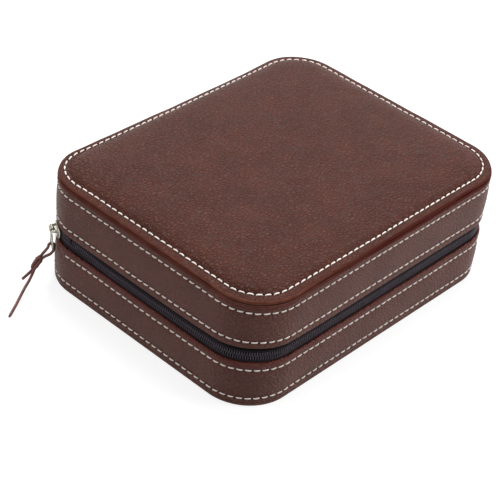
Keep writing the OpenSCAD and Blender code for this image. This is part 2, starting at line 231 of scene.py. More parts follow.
def new_object(name, points, faces, uv=None, marks=None):
    """Object at the origin with the given points and faces, shaded smooth, with its UV and its named values
    per point."""
    mesh = bpy.data.meshes.new(name)
    mesh.from_pydata(points.tolist(), [], faces)
    if uv is not None:
        layer = mesh.uv_layers.new(name="run")
        layer.data.foreach_set("uv", np.asarray(uv, np.float32).ravel())
    for mark, values in (marks or {}).items():
        held = mesh.attributes.new(mark, "FLOAT", "POINT")
        held.data.foreach_set("value", np.asarray(values, np.float32).ravel())
    mesh.shade_smooth()
    mesh.update()
    return link(bpy.data.objects.new(name, mesh))


def surface(name, grid, wrap_rows=False, poles=False, marks=None):
    """Closed surface over a grid of points, each row of which is a ring. Where the rows don't
    wrap, poles closes the first and the last ring with a fan about its middle."""
    rows, cols = grid.shape[:2]
    points = grid.reshape(-1, 3)
    quads = grid_quads(rows, cols, wrap_rows)
    uv = grid_uv(grid, wrap_rows).reshape(-1, 4, 2)
    if volume(points, quads) < 0:
        quads = quads[:, ::-1]
        uv = uv[:, ::-1]
    faces = quads.tolist()
    corners = uv.reshape(-1, 2)
    marks = {k: np.asarray(v).reshape(-1) for k, v in (marks or {}).items()}
    if poles:
        flipped = quads[0, 0] != 0
        fans, fan_uv, middles = close_poles(grid, flipped)
        points = np.concatenate([points, middles])
        faces += fans
        corners = np.concatenate([corners, fan_uv])
        marks = {k: np.concatenate([v, [v[0], v[-1]]]) for k, v in marks.items()}
    return new_object(name, points, faces, corners, marks)


def close_poles(grid, flipped):
    """Fans of triangles over the first and the last row of a grid, about their middles."""
    rows, cols = grid.shape[:2]
    j = np.arange(cols)
    j2 = (j + 1) % cols
    first = np.stack([j2, j, 0 * j + rows * cols], axis=-1)
    last = (rows - 1) * cols
    end = np.stack([last + j, last + j2, 0 * j + rows * cols + 1], axis=-1)
    fans = np.concatenate([first, end])
    if flipped:
        fans = fans[:, ::-1]
    middles = np.stack([grid[0].mean(axis=0), grid[-1].mean(axis=0)])
    return fans.tolist(), np.zeros((len(fans) * 3, 2)), middles


# Direction along no edge of the case, for tubes whose turn about themselves doesn't matter
ASLANT = (0.3, -0.8, 0.5)


def tube_rings(line, radius, sides, out=ASLANT, flat=1.0):
    """Rings of a tube along a line: a circle, or an ellipse where flat isn't one, in the plane
    across the line's direction, turned so that its first axis is nearest to out."""
    along = np.gradient(line, axis=0)
    along /= np.linalg.norm(along, axis=1)[:, None]
    side = np.cross(along, np.broadcast_to(out, line.shape))
    side /= np.linalg.norm(side, axis=1)[:, None]
    up = np.cross(side, along)
    turn = circle(sides)
    radius = np.broadcast_to(radius, len(line))[:, None, None]
    across = np.cos(turn)[None, :, None] * side[:, None] * radius
    upward = np.sin(turn)[None, :, None] * up[:, None] * radius * flat
    return line[:, None] + across + upward


def rounded_ends(count, last):
    """Radius factors along a tube of count points whose last rings close in like a half ball."""
    from_end = np.minimum(np.arange(count), np.arange(count)[::-1])
    share = np.clip((from_end + 0.35) / last, 0, 1)
    return np.sqrt(1 - (1 - share) ** 2)


def smooth_line(points, per):
    """Curve through the points: between two of them, the cubic that has, at each, the slope
    from its neighbour before to its neighbour after, with per steps."""
    p = np.concatenate([[2 * points[0] - points[1]], points, [2 * points[-1] - points[-2]]])
    t = np.linspace(0, 1, per, endpoint=False)[None, :, None]
    a, b, c, d = (p[k:len(p) - 3 + k][:, None] for k in range(4))
    cubic = (2 * b + (c - a) * t + (2 * a - 5 * b + 4 * c - d) * t ** 2
             + (3 * b - a - 3 * c + d) * t ** 3) / 2
    return np.concatenate([cubic.reshape(-1, 3), points[-1:]])


def joined(name, pieces):
    """One object from several."""
    bpy.ops.object.select_all(action="DESELECT")
    for piece in pieces:
        piece.select_set(True)
    bpy.context.view_layer.objects.active = pieces[0]
    bpy.ops.object.join()
    pieces[0].name = name
    pieces[0].data.name = name
    return pieces[0]


def dress(piece, material, body, nodes=()):
    """Gives a piece its material and its body, and hides the nodes of the frame that it stands for."""
    piece.data.materials.clear()
    piece.data.materials.append(material)
    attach(piece, body)
    if nodes:
        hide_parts(*nodes)
    return piece


# Materials

def colour(red, green, blue):
    """Screen colour, 0 to 255, as linear light: a straight line near black, and above it the
    power 2.4 of the shifted value."""
    c = np.array([red, green, blue]) / 255
    linear = np.where(c <= 0.04045, c / 12.92, ((c + 0.055) / 1.055) ** 2.4)
    return (*linear.tolist(), 1.0)


def node(tree, kind, settings=None, **inputs):
    """Adds a shader node with its settings and its inputs, which are values or sockets."""
    made = tree.nodes.new("ShaderNode" + kind)
    for key, value in (settings or {}).items():
        setattr(made, key, value)
    for key, value in inputs.items():
        put(tree, made.inputs[key.replace("_", " ")], value)
    return made


def put(tree, socket, value):
    if isinstance(value, bpy.types.NodeSocket):
        tree.links.new(value, socket)
    else:
        socket.default_value = value


def mix(tree, factor, first, second, blend="MIX"):
    """Mixes two colours by a factor."""
    made = tree.nodes.new("ShaderNodeMix")
    made.data_type = "RGBA"
    made.blend_type = blend
    put(tree, made.inputs[0], factor)
    put(tree, made.inputs[6], first)
    put(tree, made.inputs[7], second)
    return made.outputs[2]


def spread(tree, value, low, high, to_low=0.0, to_high=1.0):
    """Stretches a value from one range to another, held at the ends."""
    made = node(tree, "MapRange", Value=value, From_Min=low, From_Max=high,
                To_Min=to_low, To_Max=to_high)
    return made.outputs[0]


def maths(tree, operation, first, second):
    made = node(tree, "Math", {"operation": operation})
    put(tree, made.inputs[0], first)
    put(tree, made.inputs[1], second)
    return made.outputs[0]


def mark(tree, name):
    """Value that the mesh carries per point under this name."""
    return node(tree, "Attribute", {"attribute_name": name}).outputs["Fac"]


def place(tree, scale=(1, 1, 1), turn=(0, 0, 0)):
    """Object coordinates, scaled and turned."""
    made = node(tree, "Mapping", Scale=scale, Rotation=turn)
    tree.links.new(node(tree, "TexCoord").outputs["Object"], made.inputs["Vector"])
    return made.outputs[0]


def noise(tree, vector, scale, detail=3.0, rough=0.5):
    made = node(tree, "TexNoise", Vector=vector, Scale=scale, Detail=detail, Roughness=rough)
    return made.outputs["Fac"]


def cells(tree, vector, scale, feature="DISTANCE_TO_EDGE"):
    made = node(tree, "TexVoronoi", {"feature": feature}, Vector=vector, Scale=scale)
    return made.outputs["Distance"]


def relief(tree, into, height, distance, strength=1.0):
    """Bends the normals by a height that stands for the given distance."""
    made = node(tree, "Bump", Height=height, Distance=distance, Strength=strength)
    tree.links.new(made.outputs[0], into["Normal"])


def finish(name, rough=0.5, metal=0.0, sheen=0.0, coat=0.0, specular=0.5):
    """New material with its shader's own values set, and its node tree."""
    made = bpy.data.materials.new(name)
    made.use_nodes = True
    shader = made.node_tree.nodes["Principled BSDF"]
    shader.inputs["Roughness"].default_value = rough
    shader.inputs["Metallic"].default_value = metal
    shader.inputs["Sheen Weight"].default_value = sheen
    shader.inputs["Coat Weight"].default_value = coat
    shader.inputs["Coat Roughness"].default_value = 0.3
    shader.inputs["Specular IOR Level"].default_value = specular
    return made, made.node_tree, shader.inputs


def grey(tree, value):
    """A value as a colour."""
    made = node(tree, "CombineColor")
    for k in range(3):
        tree.links.new(value, made.inputs[k])
    return made.outputs[0]


def shaded(tree, body, shade):
    """A colour times a value."""
    return mix(tree, 1.0, body, grey(tree, shade), "MULTIPLY")


def paint(tree, into, body, shade=None):
    """Gives the shader its colour, times a value where there is one."""
    tinted = body if shade is None else shaded(tree, body, shade)
    tree.links.new(tinted, into["Base Color"])


def painted_shade_factor(tree, least):
    """One, falling to least where the mesh's shade mark is one: painted shade in grooves, holes, creases
    and under parts, with some dye gathered at stitch holes.
    """
    return spread(tree, mark(tree, "painted_shade"), 0.0, 1.0, 1.0, least)


def along_uv(tree, angle, direction, scale):
    """Waves across one direction of the UV, turned by an angle."""
    turned = node(tree, "Mapping", Rotation=(0, 0, angle))
    tree.links.new(node(tree, "UVMap").outputs[0], turned.inputs["Vector"])
    wave = node(tree, "TexWave", {"bands_direction": direction}, Vector=turned.outputs[0], Scale=scale)
    return wave.outputs["Fac"]


def wandering(tree, vector, amount, scale):
    """Coordinates pushed about by noise, so that a pattern isn't regular."""
    push = node(tree, "TexNoise", Vector=vector, Scale=scale, Detail=2.0).outputs["Color"]
    scaled = node(tree, "VectorMath", {"operation": "SCALE"}, Scale=amount)
    tree.links.new(push, scaled.inputs[0])
    added = node(tree, "VectorMath", {"operation": "ADD"})
    tree.links.new(vector, added.inputs[0])
    tree.links.new(scaled.outputs[0], added.inputs[1])
    return added.outputs[0]


def grained_leather(name, tone, shade, rim, grain, stretch, depth, rough, gloss):
    """Brown leather: pebbles from cells of the given size with creases between them, fine pores, cloudy dye
    and burnished rims. Its creases are darkened as painted shade, and the mesh's shade mark adds painted
    shade along stitch lines, grooves and folds."""
    made, tree, into = finish(name, rough, specular=gloss)
    spot = wandering(tree, place(tree, stretch, (0, 0, 0.1)), 0.7 * grain, 0.6 / grain)
    edge = cells(tree, spot, 1 / grain)
    pebble = spread(tree, edge, 0.0, 0.35)
    pores = noise(tree, place(tree), 2.2 / grain, 4.0, 0.65)
    folds = noise(tree, place(tree), 0.3 / grain, 3.0, 0.55)
    height = maths(tree, "ADD", maths(tree, "MULTIPLY", pebble, 0.7),
                   maths(tree, "MULTIPLY", pores, 0.5))
    height = maths(tree, "ADD", height, maths(tree, "MULTIPLY", folds, 0.7))
    relief(tree, into, height, depth)
    cloud = spread(tree, noise(tree, place(tree), 60, 4.0, 0.6), 0.3, 0.7)
    dyed = mix(tree, cloud, shade, tone)
    # Darker in the creases between the pebbles: painted shade.
    crease = spread(tree, edge, 0.0, 0.22, 0.55, 1.0)
    fleck = spread(tree, pores, 0.3, 0.7, 0.84, 1.14)
    dyed = shaded(tree, dyed, maths(tree, "MULTIPLY", crease, fleck))
    rimmed = mix(tree, mark(tree, "rim"), dyed, rim)
    # Painted shade from the mesh's mark: seam channels and holes, grooves and folds.
    paint(tree, into, rimmed, painted_shade_factor(tree, 0.42))
    tree.links.new(spread(tree, pores, 0.3, 0.7, rough - 0.07, rough + 0.08), into["Roughness"])
    return made


def edge_leather(name, dark_tone, light_tone, burnt):
    """Burnished edge paint over stacked plies: red-brown, glossy, with fine lines along it, and burnt
    darker where the rim mark says so. Painted shade darkens it in the grooves between plies and under the
    rolled edge."""
    made, tree, into = finish(name, 0.4, specular=0.03)
    lines = noise(tree, place(tree, (0.05, 0.05, 1)), 3500, 3.0, 0.6)
    blotch = noise(tree, place(tree), 160, 4.0, 0.6)
    height = maths(tree, "ADD", lines, maths(tree, "MULTIPLY", blotch, 0.5))
    relief(tree, into, height, 0.00006)
    body = mix(tree, spread(tree, blotch, 0.3, 0.7), dark_tone, light_tone)
    body = mix(tree, mark(tree, "rim"), body, burnt)
    # Painted shade in the grooves between plies and under the rolled edge.
    dark = painted_shade_factor(tree, 0.3)
    lined = maths(tree, "MULTIPLY", dark, spread(tree, lines, 0.3, 0.7, 0.8, 1.1))
    paint(tree, into, body, lined)
    return made


def suede(name, light, dark, nap):
    """Napped suede: soft patches where the nap lies one way or the other, and short fibres."""
    made, tree, into = finish(name, 0.92, sheen=0.45, specular=0.15)
    into["Sheen Roughness"].default_value = 0.4
    patches = noise(tree, wandering(tree, place(tree), 0.01, 60), 55, 4.0, 0.6)
    fibre = noise(tree, place(tree), nap, 4.0, 0.7)
    body = mix(tree, spread(tree, patches, 0.32, 0.68), dark, light)
    fine = spread(tree, fibre, 0.25, 0.75, 0.86, 1.1)
    paint(tree, into, body, fine)
    relief(tree, into, fibre, 0.00018, 0.7)
    return made


def woven_tape():
    """Zip tape: a fine herringbone of charcoal yarn, from two crossed waves on the tape's UV, darkened by
    painted shade where the mesh marks it.
    """
    made, tree, into = finish("zip_tape", 0.85, specular=0.08)
    wale, weft = (along_uv(tree, 0.785, direction, 700.0) for direction in "XY")
    weave = maths(tree, "MAXIMUM", wale, weft)
    body = mix(tree, weave, colour(24, 21, 23), colour(52, 46, 50))
    # Painted shadow behind the leather, under the lid's lip and inside the coil's loops.
    dark = painted_shade_factor(tree, 0.08)
    paint(tree, into, body, dark)
    relief(tree, into, weave, 0.0001)
    return made


def nylon_coil():
    """Nylon coil teeth: dark grey with a soft gloss and faint streaks."""
    made, tree, into = finish("zip_coil", 0.36, specular=0.25)
    streak = noise(tree, place(tree), 900, 3.0, 0.6)
    body = mix(tree, spread(tree, streak, 0.3, 0.7), colour(62, 54, 62), colour(96, 86, 96))
    paint(tree, into, body)
    relief(tree, into, streak, 0.00003)
    return made


def nickel():
    """Plated cast metal: pale warm nickel, with soft pits, fine rubs and darker tarnish, and painted shade
    where the mesh marks it.
    """
    made, tree, into = finish("zip_metal", 0.22, metal=1.0)
    rubs = noise(tree, place(tree, (1, 1, 0.2)), 2600, 3.0, 0.6)
    stain = noise(tree, place(tree), 420, 4.0, 0.6)
    body = mix(tree, spread(tree, stain, 0.35, 0.7), colour(196, 192, 178), colour(132, 126, 108))
    # Painted shade in crevices, in the bore and on faces turned inwards.
    dark = painted_shade_factor(tree, 0.12)
    paint(tree, into, body, dark)
    tree.links.new(spread(tree, rubs, 0.3, 0.7, 0.16, 0.34), into["Roughness"])
    relief(tree, into, rubs, 0.00002)
    return made


def lace_leather():
    """Thin dyed lace: red-brown, lightly waxed, with grain along its length."""
    made, tree, into = finish("thong_leather", 0.5, coat=0.06, specular=0.4)
    grain = noise(tree, place(tree), 1500, 4.0, 0.65)
    cloud = noise(tree, place(tree), 190, 3.0, 0.5)
    body = mix(tree, spread(tree, cloud, 0.3, 0.7), colour(82, 38, 34), colour(114, 62, 52))
    fine = spread(tree, grain, 0.3, 0.7, 0.84, 1.12)
    paint(tree, into, body, fine)
    relief(tree, into, grain, 0.00008)
    return made


def waxed_thread():
    """Waxed saddle thread: cream, with the twist of its plies across it."""
    made, tree, into = finish("waxed_thread", 0.55, sheen=0.1, specular=0.35)
    ply = along_uv(tree, 0.6, "X", 420.0)
    dust = noise(tree, place(tree), 500, 3.0, 0.6)
    body = mix(tree, spread(tree, dust, 0.3, 0.7), colour(246, 228, 218), colour(255, 248, 242))
    fine = spread(tree, ply, 0.0, 0.5, 0.78, 1.0)
    paint(tree, into, body, fine)
    relief(tree, into, ply, 0.00012)
    return made


def greyboard():
    """Pressed board: flecked grey-brown."""
    made, tree, into = finish("greyboard", 0.9, specular=0.2)
    fleck = noise(tree, place(tree), 700, 5.0, 0.75)
    body = mix(tree, spread(tree, fleck, 0.35, 0.65), colour(120, 104, 84), colour(158, 140, 116))
    paint(tree, into, body)
    relief(tree, into, fleck, 0.00008)
    return made


def foam():
    """Open foam: pale, with small round pores."""
    made, tree, into = finish("foam", 0.95, specular=0.1)
    pore = cells(tree, place(tree), 900, "F1")
    body = mix(tree, spread(tree, pore, 0.1, 0.6), colour(196, 184, 150), colour(226, 218, 190))
    paint(tree, into, body)
    relief(tree, into, pore, 0.0002)
    return made


# The walls and the top are one leather. Their tones are set apart, the walls' lighter and the top's darker,
# to match how bright each looks under the lamps: that difference is painted light.
WALL_LEATHER = grained_leather(
    "wall_leather", tone=colour(112, 66, 55), shade=colour(99, 55, 46), rim=colour(98, 46, 38),
    grain=1.5 * MM, stretch=(0.6, 0.6, 1.2), depth=0.0010, rough=0.44, gloss=0.19)
TOP_LEATHER = grained_leather(
    "top_leather", tone=colour(85, 44, 33), shade=colour(73, 36, 26), rim=colour(56, 24, 16),
    grain=1.7 * MM, stretch=(0.6, 1, 1), depth=0.0006, rough=0.38, gloss=0.10)
EDGE_LEATHER = edge_leather(
    "edge_leather", colour(90, 50, 40), colour(118, 72, 58), colour(72, 18, 7))
# The welt has the same edge paint as the top's rolled edge. Its tones are set lighter as painted light,
# against the shade of the overhanging top.
WELT_LEATHER_LIGHTENED = edge_leather(
    "welt_leather_lightened", colour(98, 58, 50), colour(126, 80, 69), colour(82, 30, 20))
LINING_SUEDE = suede("lining_suede", colour(176, 150, 122), colour(146, 120, 94), 1400)
PILLOW_SUEDE = suede("pillow_suede", colour(190, 166, 138), colour(162, 136, 108), 1200)
ZIP_TAPE = woven_tape()
ZIP_COIL = nylon_coil()
METAL = nickel()
LACE = lace_leather()
THREAD = waxed_thread()
BOARD = greyboard()
FOAM = foam()


# Camera, at the photograph's viewing angle

CAMERA_AT = (-0.583585, -0.467992, 0.571755)
CAMERA_RIGHT = (0.686309, -0.721267, 0.093563)
CAMERA_UP = (0.385804, 0.470083, 0.793837)
CAMERA_BACK = (-0.616551, -0.508721, 0.60089)
LENS_MM = 122.87


def make_camera():
    data = bpy.data.cameras.new("camera")
    data.lens = LENS_MM
    data.sensor_width = 36.0
    data.clip_start = 0.01
    data.clip_end = 20.0
    camera = bpy.data.objects.new("camera", data)
    axes = Matrix((CAMERA_RIGHT, CAMERA_UP, CAMERA_BACK)).transposed()
    camera.matrix_world = Matrix.Translation(CAMERA_AT) @ axes.to_4x4()
    bpy.context.scene.camera = link(camera)


make_camera()


# Thong. Its points are given in the slider's own frame: outwards from the middle of the back
# left corner, along the wall away from the hinge, and up.

SLIDER_DIR = math.radians(150)
CORNER_MIDDLE = np.array([-RUN_X, RUN_Y, 0])
OUT = np.array([math.cos(SLIDER_DIR), math.sin(SLIDER_DIR), 0])
ALONG = np.array([-math.sin(SLIDER_DIR), math.cos(SLIDER_DIR), 0])
UP = np.array([0, 0, 1.0])


def at_slider(points):
    """Points of the slider's frame in the frame of the case."""
    p = np.asarray(points, float)
    return CORNER_MIDDLE + p[..., :1] * OUT + p[..., 1:2] * ALONG + p[..., 2:] * UP


SHORT_ROUTE = MM * np.array([
    (31.4, 0, 22.2), (31.6, -0.2, 21), (32.2, -0.6, 19.6), (33, -0.9, 18.2), (34, -1, 16.8),
    (35, -0.9, 15.5), (36, -0.6, 14.1), (36.9, -0.2, 12.7), (37.8, 0.2, 11.2), (38.8, 0.7, 9.8),
    (39.8, 1.2, 8.5), (41, 1.7, 7.4), (42.4, 2.2, 6.4), (44.1, 2.8, 5.3), (45.9, 3.5, 4.1),
])
LONG_ROUTE = MM * np.array([
    (28.4, 0, 22.2), (28.4, 0.3, 21), (28.7, 0.7, 19.8), (29.4, 1, 18.6), (30.5, 1.1, 17.5),
    (31.8, 0.9, 16.6), (33.1, 0.5, 15.7), (34.4, 0.3, 14.6), (35.6, 0.4, 13.3), (36.8, 0.7, 11.9),
    (37.9, 1.2, 10.5), (39, 2, 9.1), (40.2, 3.4, 7.6), (41.6, 5.3, 6.3), (43.4, 7.8, 5.3),
    (45.6, 10.8, 4.4), (47.7, 14, 3.6), (49.9, 17.5, 2.8), (52.1, 21.1, 2.1), (54.5, 24.8, 1.4),
    (57.2, 29, 0.8),
])
LACE_D = 1.6 * MM
LACE_SIDES = 12
# Steps of the smooth line between two points of a route
ROUTE_STEPS = 6
BAR_OUT = 29.9 * MM
BIGHT_Z = 22.2 * MM
BIGHT_R = 1.5 * MM
KNOT_FROM = np.array([0.0348, -0.0005, 0.0158])
KNOT_TO = np.array([0.0402, 0.0014, 0.0079])


def lace(name, route):
    """Round lace along a route, cut square with a soft edge at its free end."""
    middle = at_slider(smooth_line(route, ROUTE_STEPS))
    from_end = np.arange(len(middle))[::-1]
    radius = LACE_D / 2 * np.sqrt(np.clip((from_end + 1.2) / 3, 0, 1))
    return surface(name, tube_rings(middle, radius, LACE_SIDES), poles=True)


def lace_bight():
    """Half circle of lace through the pull's hole, open downwards."""
    turn = np.linspace(0, math.pi, 25)
    out = BAR_OUT + BIGHT_R * np.cos(turn)
    middle = np.stack([out, 0 * turn, BIGHT_Z + BIGHT_R * np.sin(turn)], axis=-1)
    rings = tube_rings(at_slider(middle), LACE_D / 2, LACE_SIDES, out=ALONG)
    return surface("thong_bend", rings, poles=True)


# Way the knot's front faces, and for each of its lobes: the angle about the axis, the turns about
# it, the shares of the axis where it starts and ends, its distance off it and its half thickness
KNOT_FRONT = np.array([0.39, 0.80, 0.458])
KNOT_LOBES = (
    (-0.95, 0.12, 0.02, 0.97, 1.20, 1.0), (0.95, 0.12, 0.0, 0.93, 1.20, 1.05),
    (2.75, 0.12, 0.04, 0.98, 1.15, 1.05), (-2.2, 0.35, 0.10, 0.46, 1.55, 0.68),
    (0.9, 0.55, 0.12, 0.36, 1.62, 0.62), (-2.6, 0.5, 0.48, 0.74, 1.55, 0.62),
)


def lace_knot():
    """Overhand knot pulled tight: fat lobes of lace laid lengthwise round the knot's axis, each
    turned slightly about it, with two short wraps across them at the upper end. A lobe's
    distance from the axis rises as the root of a sine, and its thickness follows."""
    axis = KNOT_TO - KNOT_FROM
    length = np.linalg.norm(axis)
    axis = axis / length
    side = np.cross(axis, KNOT_FRONT)
    side /= np.linalg.norm(side)
    front = np.cross(side, axis)
    strands = []
    for start, turns, first, last, off, thick in KNOT_LOBES:
        t = np.linspace(0, 1, 40)
        along = (first + (last - first) * t) * length
        angle = start + 2 * math.pi * turns * (t - 0.5)
        swell = np.sin(math.pi * np.clip(0.12 + 0.76 * t, 0, 1)) ** 0.6
        reach = off * MM * swell
        middle = (KNOT_FROM + along[:, None] * axis + (reach * np.cos(angle))[:, None] * front
                  + (reach * np.sin(angle))[:, None] * side)
        radius = thick * MM * (0.55 + 0.45 * swell) * rounded_ends(len(t), 6)
        strands.append(surface("wrap", tube_rings(at_slider(middle), radius, 14), poles=True))
    return joined("thong_wraps", strands)


def make_thong():
    long_end = lace("thong_long_end", LONG_ROUTE)
    short_end = lace("thong_short_end", SHORT_ROUTE)
    bend = lace_bight()
    knot = lace_knot()
    stands_for = {
        long_end: "thong_lace_long", short_end: "thong_lace_short", bend: "thong_bight", knot: "thong_knot"}
    for piece, name in stands_for.items():
        dress(piece, LACE, "pull", [name])


make_thong()


# Stitch rows, as heights on the walls or an inset on the top

STITCH_L = 3.4 * MM
STITCH_D = 0.88 * MM
STITCH_RISE = 0.12 * MM
STITCH_DIP = 0.6 * MM
STITCH_RINGS = 9
STITCH_SIDES = 8
# Depth of a row's stitches in the leather, and how much one differs from the next
STITCH_SUNK = 0.05 * MM
STITCH_SLANT = 0.05
STITCH_SPREAD = 0.03
ROW_BASE_LOW = 5.6 * MM
ROW_BASE_UP = 23.0 * MM
ROW_LID_LOW = 40.9 * MM
ROW_LID_UP = 60.1 * MM
ROW_TOP = 5.45 * MM
PITCH = GIRTH / STITCHES_ROUND
# The zip's stitching on the base starts below the parked slider and ends at its mirror image
ZIP_ROW_FROM = 112.0 * MM
HINGE_ROW_TO = 84.0 * MM


# How far each line of the handmade case runs above its level, in millimetres, at these distances
# round it from the middle of the back: the left wall, the near corner at 242, the front and the
# right. On the top a line runs inwards instead.
LINE_AT = MM * np.array([
    0, 50, 73, 92, 106, 124, 140, 170, 206, 242, 281, 330, 382, 440, 540, 580, 620])
LINES = {
    "base_low": (
        0, 0.14, 0.2, 0.27, 0.33, 0.4, 0.45, 0.05, -0.35, -0.2, 0.4, 0.4, -0.1, 0, 0.1, 0.05, 0),
    "base_zip": (
        0, 0.07, 0.1, 0.16, 0.2, 0.25, 0.25, -0.2, -0.05, 0.85, 0.3, 0.05, -0.2, 0, 0.1, 0, -0.1),
    "lid_zip": (
        0, -0.07, -0.1, -0.14, -0.16, -0.2, -0.2, -0.5, -0.15, 0.9, 0.2, 0.4, 0.6, 0.2, 0, -0.05, -0.1),
    "lid_up": (
        0, 0.21, 0.3, 0.34, 0.36, 0.4, 0.45, 0.45, 0.4, -0.45, -0.4, -0.05, 0, 0.1, -0.2, 0, 0.2),
    "top": (
        0, -0.5, -1.2, -2.3, -1.2, 0.1, -0.15, 0.1, 0.1, 0, -0.2, -0.25, -0.25, -0.4, -0.2, -0.1, 0),
    "base_edge": (
        -0.3, -0.3, -0.3, -0.34, -0.36, -0.4, -0.5, -0.6, -0.7, 0.3, -0.3, -0.4, -0.6, -0.4, -0.5,
        -0.45, -0.4),
    "lid_edge": (
        0, -0.14, -0.2, -0.27, -0.33, -0.4, -0.4, -0.6, -0.3, 1.3, -0.1, 0.1, 0.1, 0, -0.2, -0.1, 0),
    "teeth": (0, 0, 0, 0, 0, 0, -1.8, -1.9, -1.4, -0.4, -1, -1.2, -0.9, -0.6, -0.3, -0.15, 0),
    "panel_edge": (
        -1.2, -0.8, -0.6, -0.2, 0.33, 0.4, 0.4, 0.4, 0.3, -0.9, -0.1, -0.2, -0.1, -0.2, -0.4, -0.5,
        -1.4),
    # Share of the burnt dye on the edge, whether the line rises or not
    "burnish": (0.5, 0.5, 0.5, 0.5, 0.5, 0.5, 0.5, 0.5, 0.4, -0.2, 0.7, 1, 1, 0.8, 0.5, 0.5, 0.5),
    # How far the top's rolled edge is drawn in and pressed down where it lies far from the front
    "far_rim": (1.2, 1, 0.8, 0.3, 0, 0, 0, 0, 0, 0, 0, 0, 0, 0.5, 0.7, 0.7, 1.3),
    "far_drop": (1.2, 0.8, 0.6, 0.2, 0, 0, 0, 0, 0, 0, 0, 0, 0, 0.2, 0.5, 0.5, 1.4),
}
LINE_SOFTNESS = 12


def line(name):
    """Function of the distance round the case that gives a line's run above its level: straight
    between the places of LINE_AT, then averaged over 24 mm, so that it bends softly."""
    dense = np.arange(0, GIRTH, MM)
    raw = MM * np.interp(dense, LINE_AT, LINES[name], period=GIRTH)
    window = np.hanning(2 * LINE_SOFTNESS + 1)
    padded = np.concatenate([raw[-LINE_SOFTNESS:], raw, raw[:LINE_SOFTNESS]])
    smooth = np.convolve(padded, window / window.sum(), "valid")

    def run(s):
        return np.interp(np.mod(s, GIRTH), dense, smooth, period=GIRTH)
    return run


def stitch_line(name, seed):
    """A line's run with the small wander of a hand-guided needle."""
    run = line(name)

    def wandering_run(s):
        return run(s) + sway(s, (5 + seed, 11 + 2 * seed, 23 + seed), 0.06 * MM)
    return wandering_run


BASE_LOW_LINE = stitch_line("base_low", 0)
BASE_ZIP_LINE = stitch_line("base_zip", 1)
LID_ZIP_LINE = stitch_line("lid_zip", 2)
LID_UP_LINE = stitch_line("lid_up", 4)
TOP_LINE = stitch_line("top", 3)
BASE_EDGE = line("base_edge")
LID_EDGE = line("lid_edge")
TEETH_LINE = line("teeth")
PANEL_EDGE = line("panel_edge")
BURNISH_LINE = line("burnish")
FAR_RIM = line("far_rim")
FAR_DROP = line("far_drop")


def burnish(s):
    """Share of burnt dye on the edges of the top, from zero to one."""
    return np.maximum(BURNISH_LINE(s) / MM, 0)


def stitch_mesh():
    """One stitch along X, risen towards +Z: a thread that dips into its holes at both ends, by
    the fifth power of the distance from the middle, with an oval cross-section."""
    t = np.linspace(-1, 1, STITCH_RINGS)
    dip = STITCH_RISE - STITCH_DIP * np.abs(t) ** 5
    middle = np.stack([t * STITCH_L / 2, 0 * t, dip], axis=-1)
    radius = STITCH_D / 2 * np.sqrt(np.clip(1.02 - np.abs(t) ** 4, 0.05, 1))
    points = tube_rings(middle, radius, STITCH_SIDES, out=UP, flat=0.8).reshape(-1, 3)
    quads = grid_quads(STITCH_RINGS, STITCH_SIDES, False)
    if volume(points, quads) < 0:
        quads = quads[:, ::-1]
    return points, quads


def stitch_row(name, origins, out, up):
    """Stitches set on points, each turned so that its length runs round the case and it rises
    along up, with a slight slant and small differences from one to the next."""
    template, quads = stitch_mesh()
    count = len(origins)
    rng = np.random.default_rng(len(name))
    along = np.stack([-out[:, 1], out[:, 0], 0 * out[:, 0]], axis=-1)
    side = np.cross(up, along)
    lean = STITCH_SLANT + rng.normal(0, STITCH_SPREAD, count)
    length = 1 + rng.normal(0, STITCH_SPREAD, count)
    ahead = along * np.cos(lean)[:, None] + side * np.sin(lean)[:, None]
    across = side * np.cos(lean)[:, None] - along * np.sin(lean)[:, None]
    points = (origins[:, None] + template[None, :, :1] * (ahead * length[:, None])[:, None]
              + template[None, :, 1:2] * across[:, None] + template[None, :, 2:] * up[:, None])
    rise = rng.normal(0, STITCH_SPREAD * MM, count)
    points += (up * rise[:, None])[:, None]
    faces = quads[None] + (np.arange(count) * len(template))[:, None, None]
    flat_uv = np.stack([template[:, 0], template[:, 1]], axis=-1)[quads].reshape(1, -1, 2)
    uv = np.broadcast_to(flat_uv, (count, flat_uv.shape[1], 2)).reshape(-1, 2)
    return new_object(name, points.reshape(-1, 3), faces.reshape(-1, 4).tolist(), uv)


def wall_row(name, height, run, first, last, body):
    """Row of stitches on a wall from one distance round the case to another."""
    count = int(round((last - first) / PITCH))
    s = first + (np.arange(count) + 0.5) * PITCH
    out = outward(s)
    origins = around(s, STITCH_SUNK, height + run(s))
    return dress(stitch_row(name, origins, out, out), THREAD, body)


def top_row():
    """Loop of stitches on the border of the top, evenly spaced on its own line."""
    loop = knots(ROW_TOP)
    count = int(round(loop[-1] / PITCH))
    own = (np.arange(count) + 0.5) * loop[-1] / count
    s = np.interp(own, loop, KNOTS)
    inset = ROW_TOP + TOP_LINE(s)
    out = outward(s)
    origins = around(s, inset, BORDER_TOP - STITCH_SUNK - edge_drop(s, inset))
    row = stitch_row("stitches_top", origins, out, np.broadcast_to(UP, out.shape))
    return dress(row, THREAD, "lid")


def edge_drop(s, inset):
    """How far the top is pressed down, which fades out within a few millimetres of its edge."""
    return FAR_DROP(s) * (1 - ease(inset / (7 * MM)))


def seam(off, share, depth):
    """How far leather is drawn in by a row of stitches, at a distance off the row: a narrow
    channel, deeper at the holes between the stitches, in a wider hollow."""
    channel = bump(off, 0.62 * MM) * (0.55 + 0.75 * hole_wave(share) ** 3)
    return depth * (channel + 0.45 * bump(off, 1.7 * MM))


def seam_shade(off, share):
    """How dark the leather is along a row of stitches, most at the holes: painted shade in the channel and
    the holes, with some dye gathered there.
    """
    return bump(off, 0.5 * MM) * (0.35 + 0.65 * hole_wave(share) ** 2)


# Wall leathers

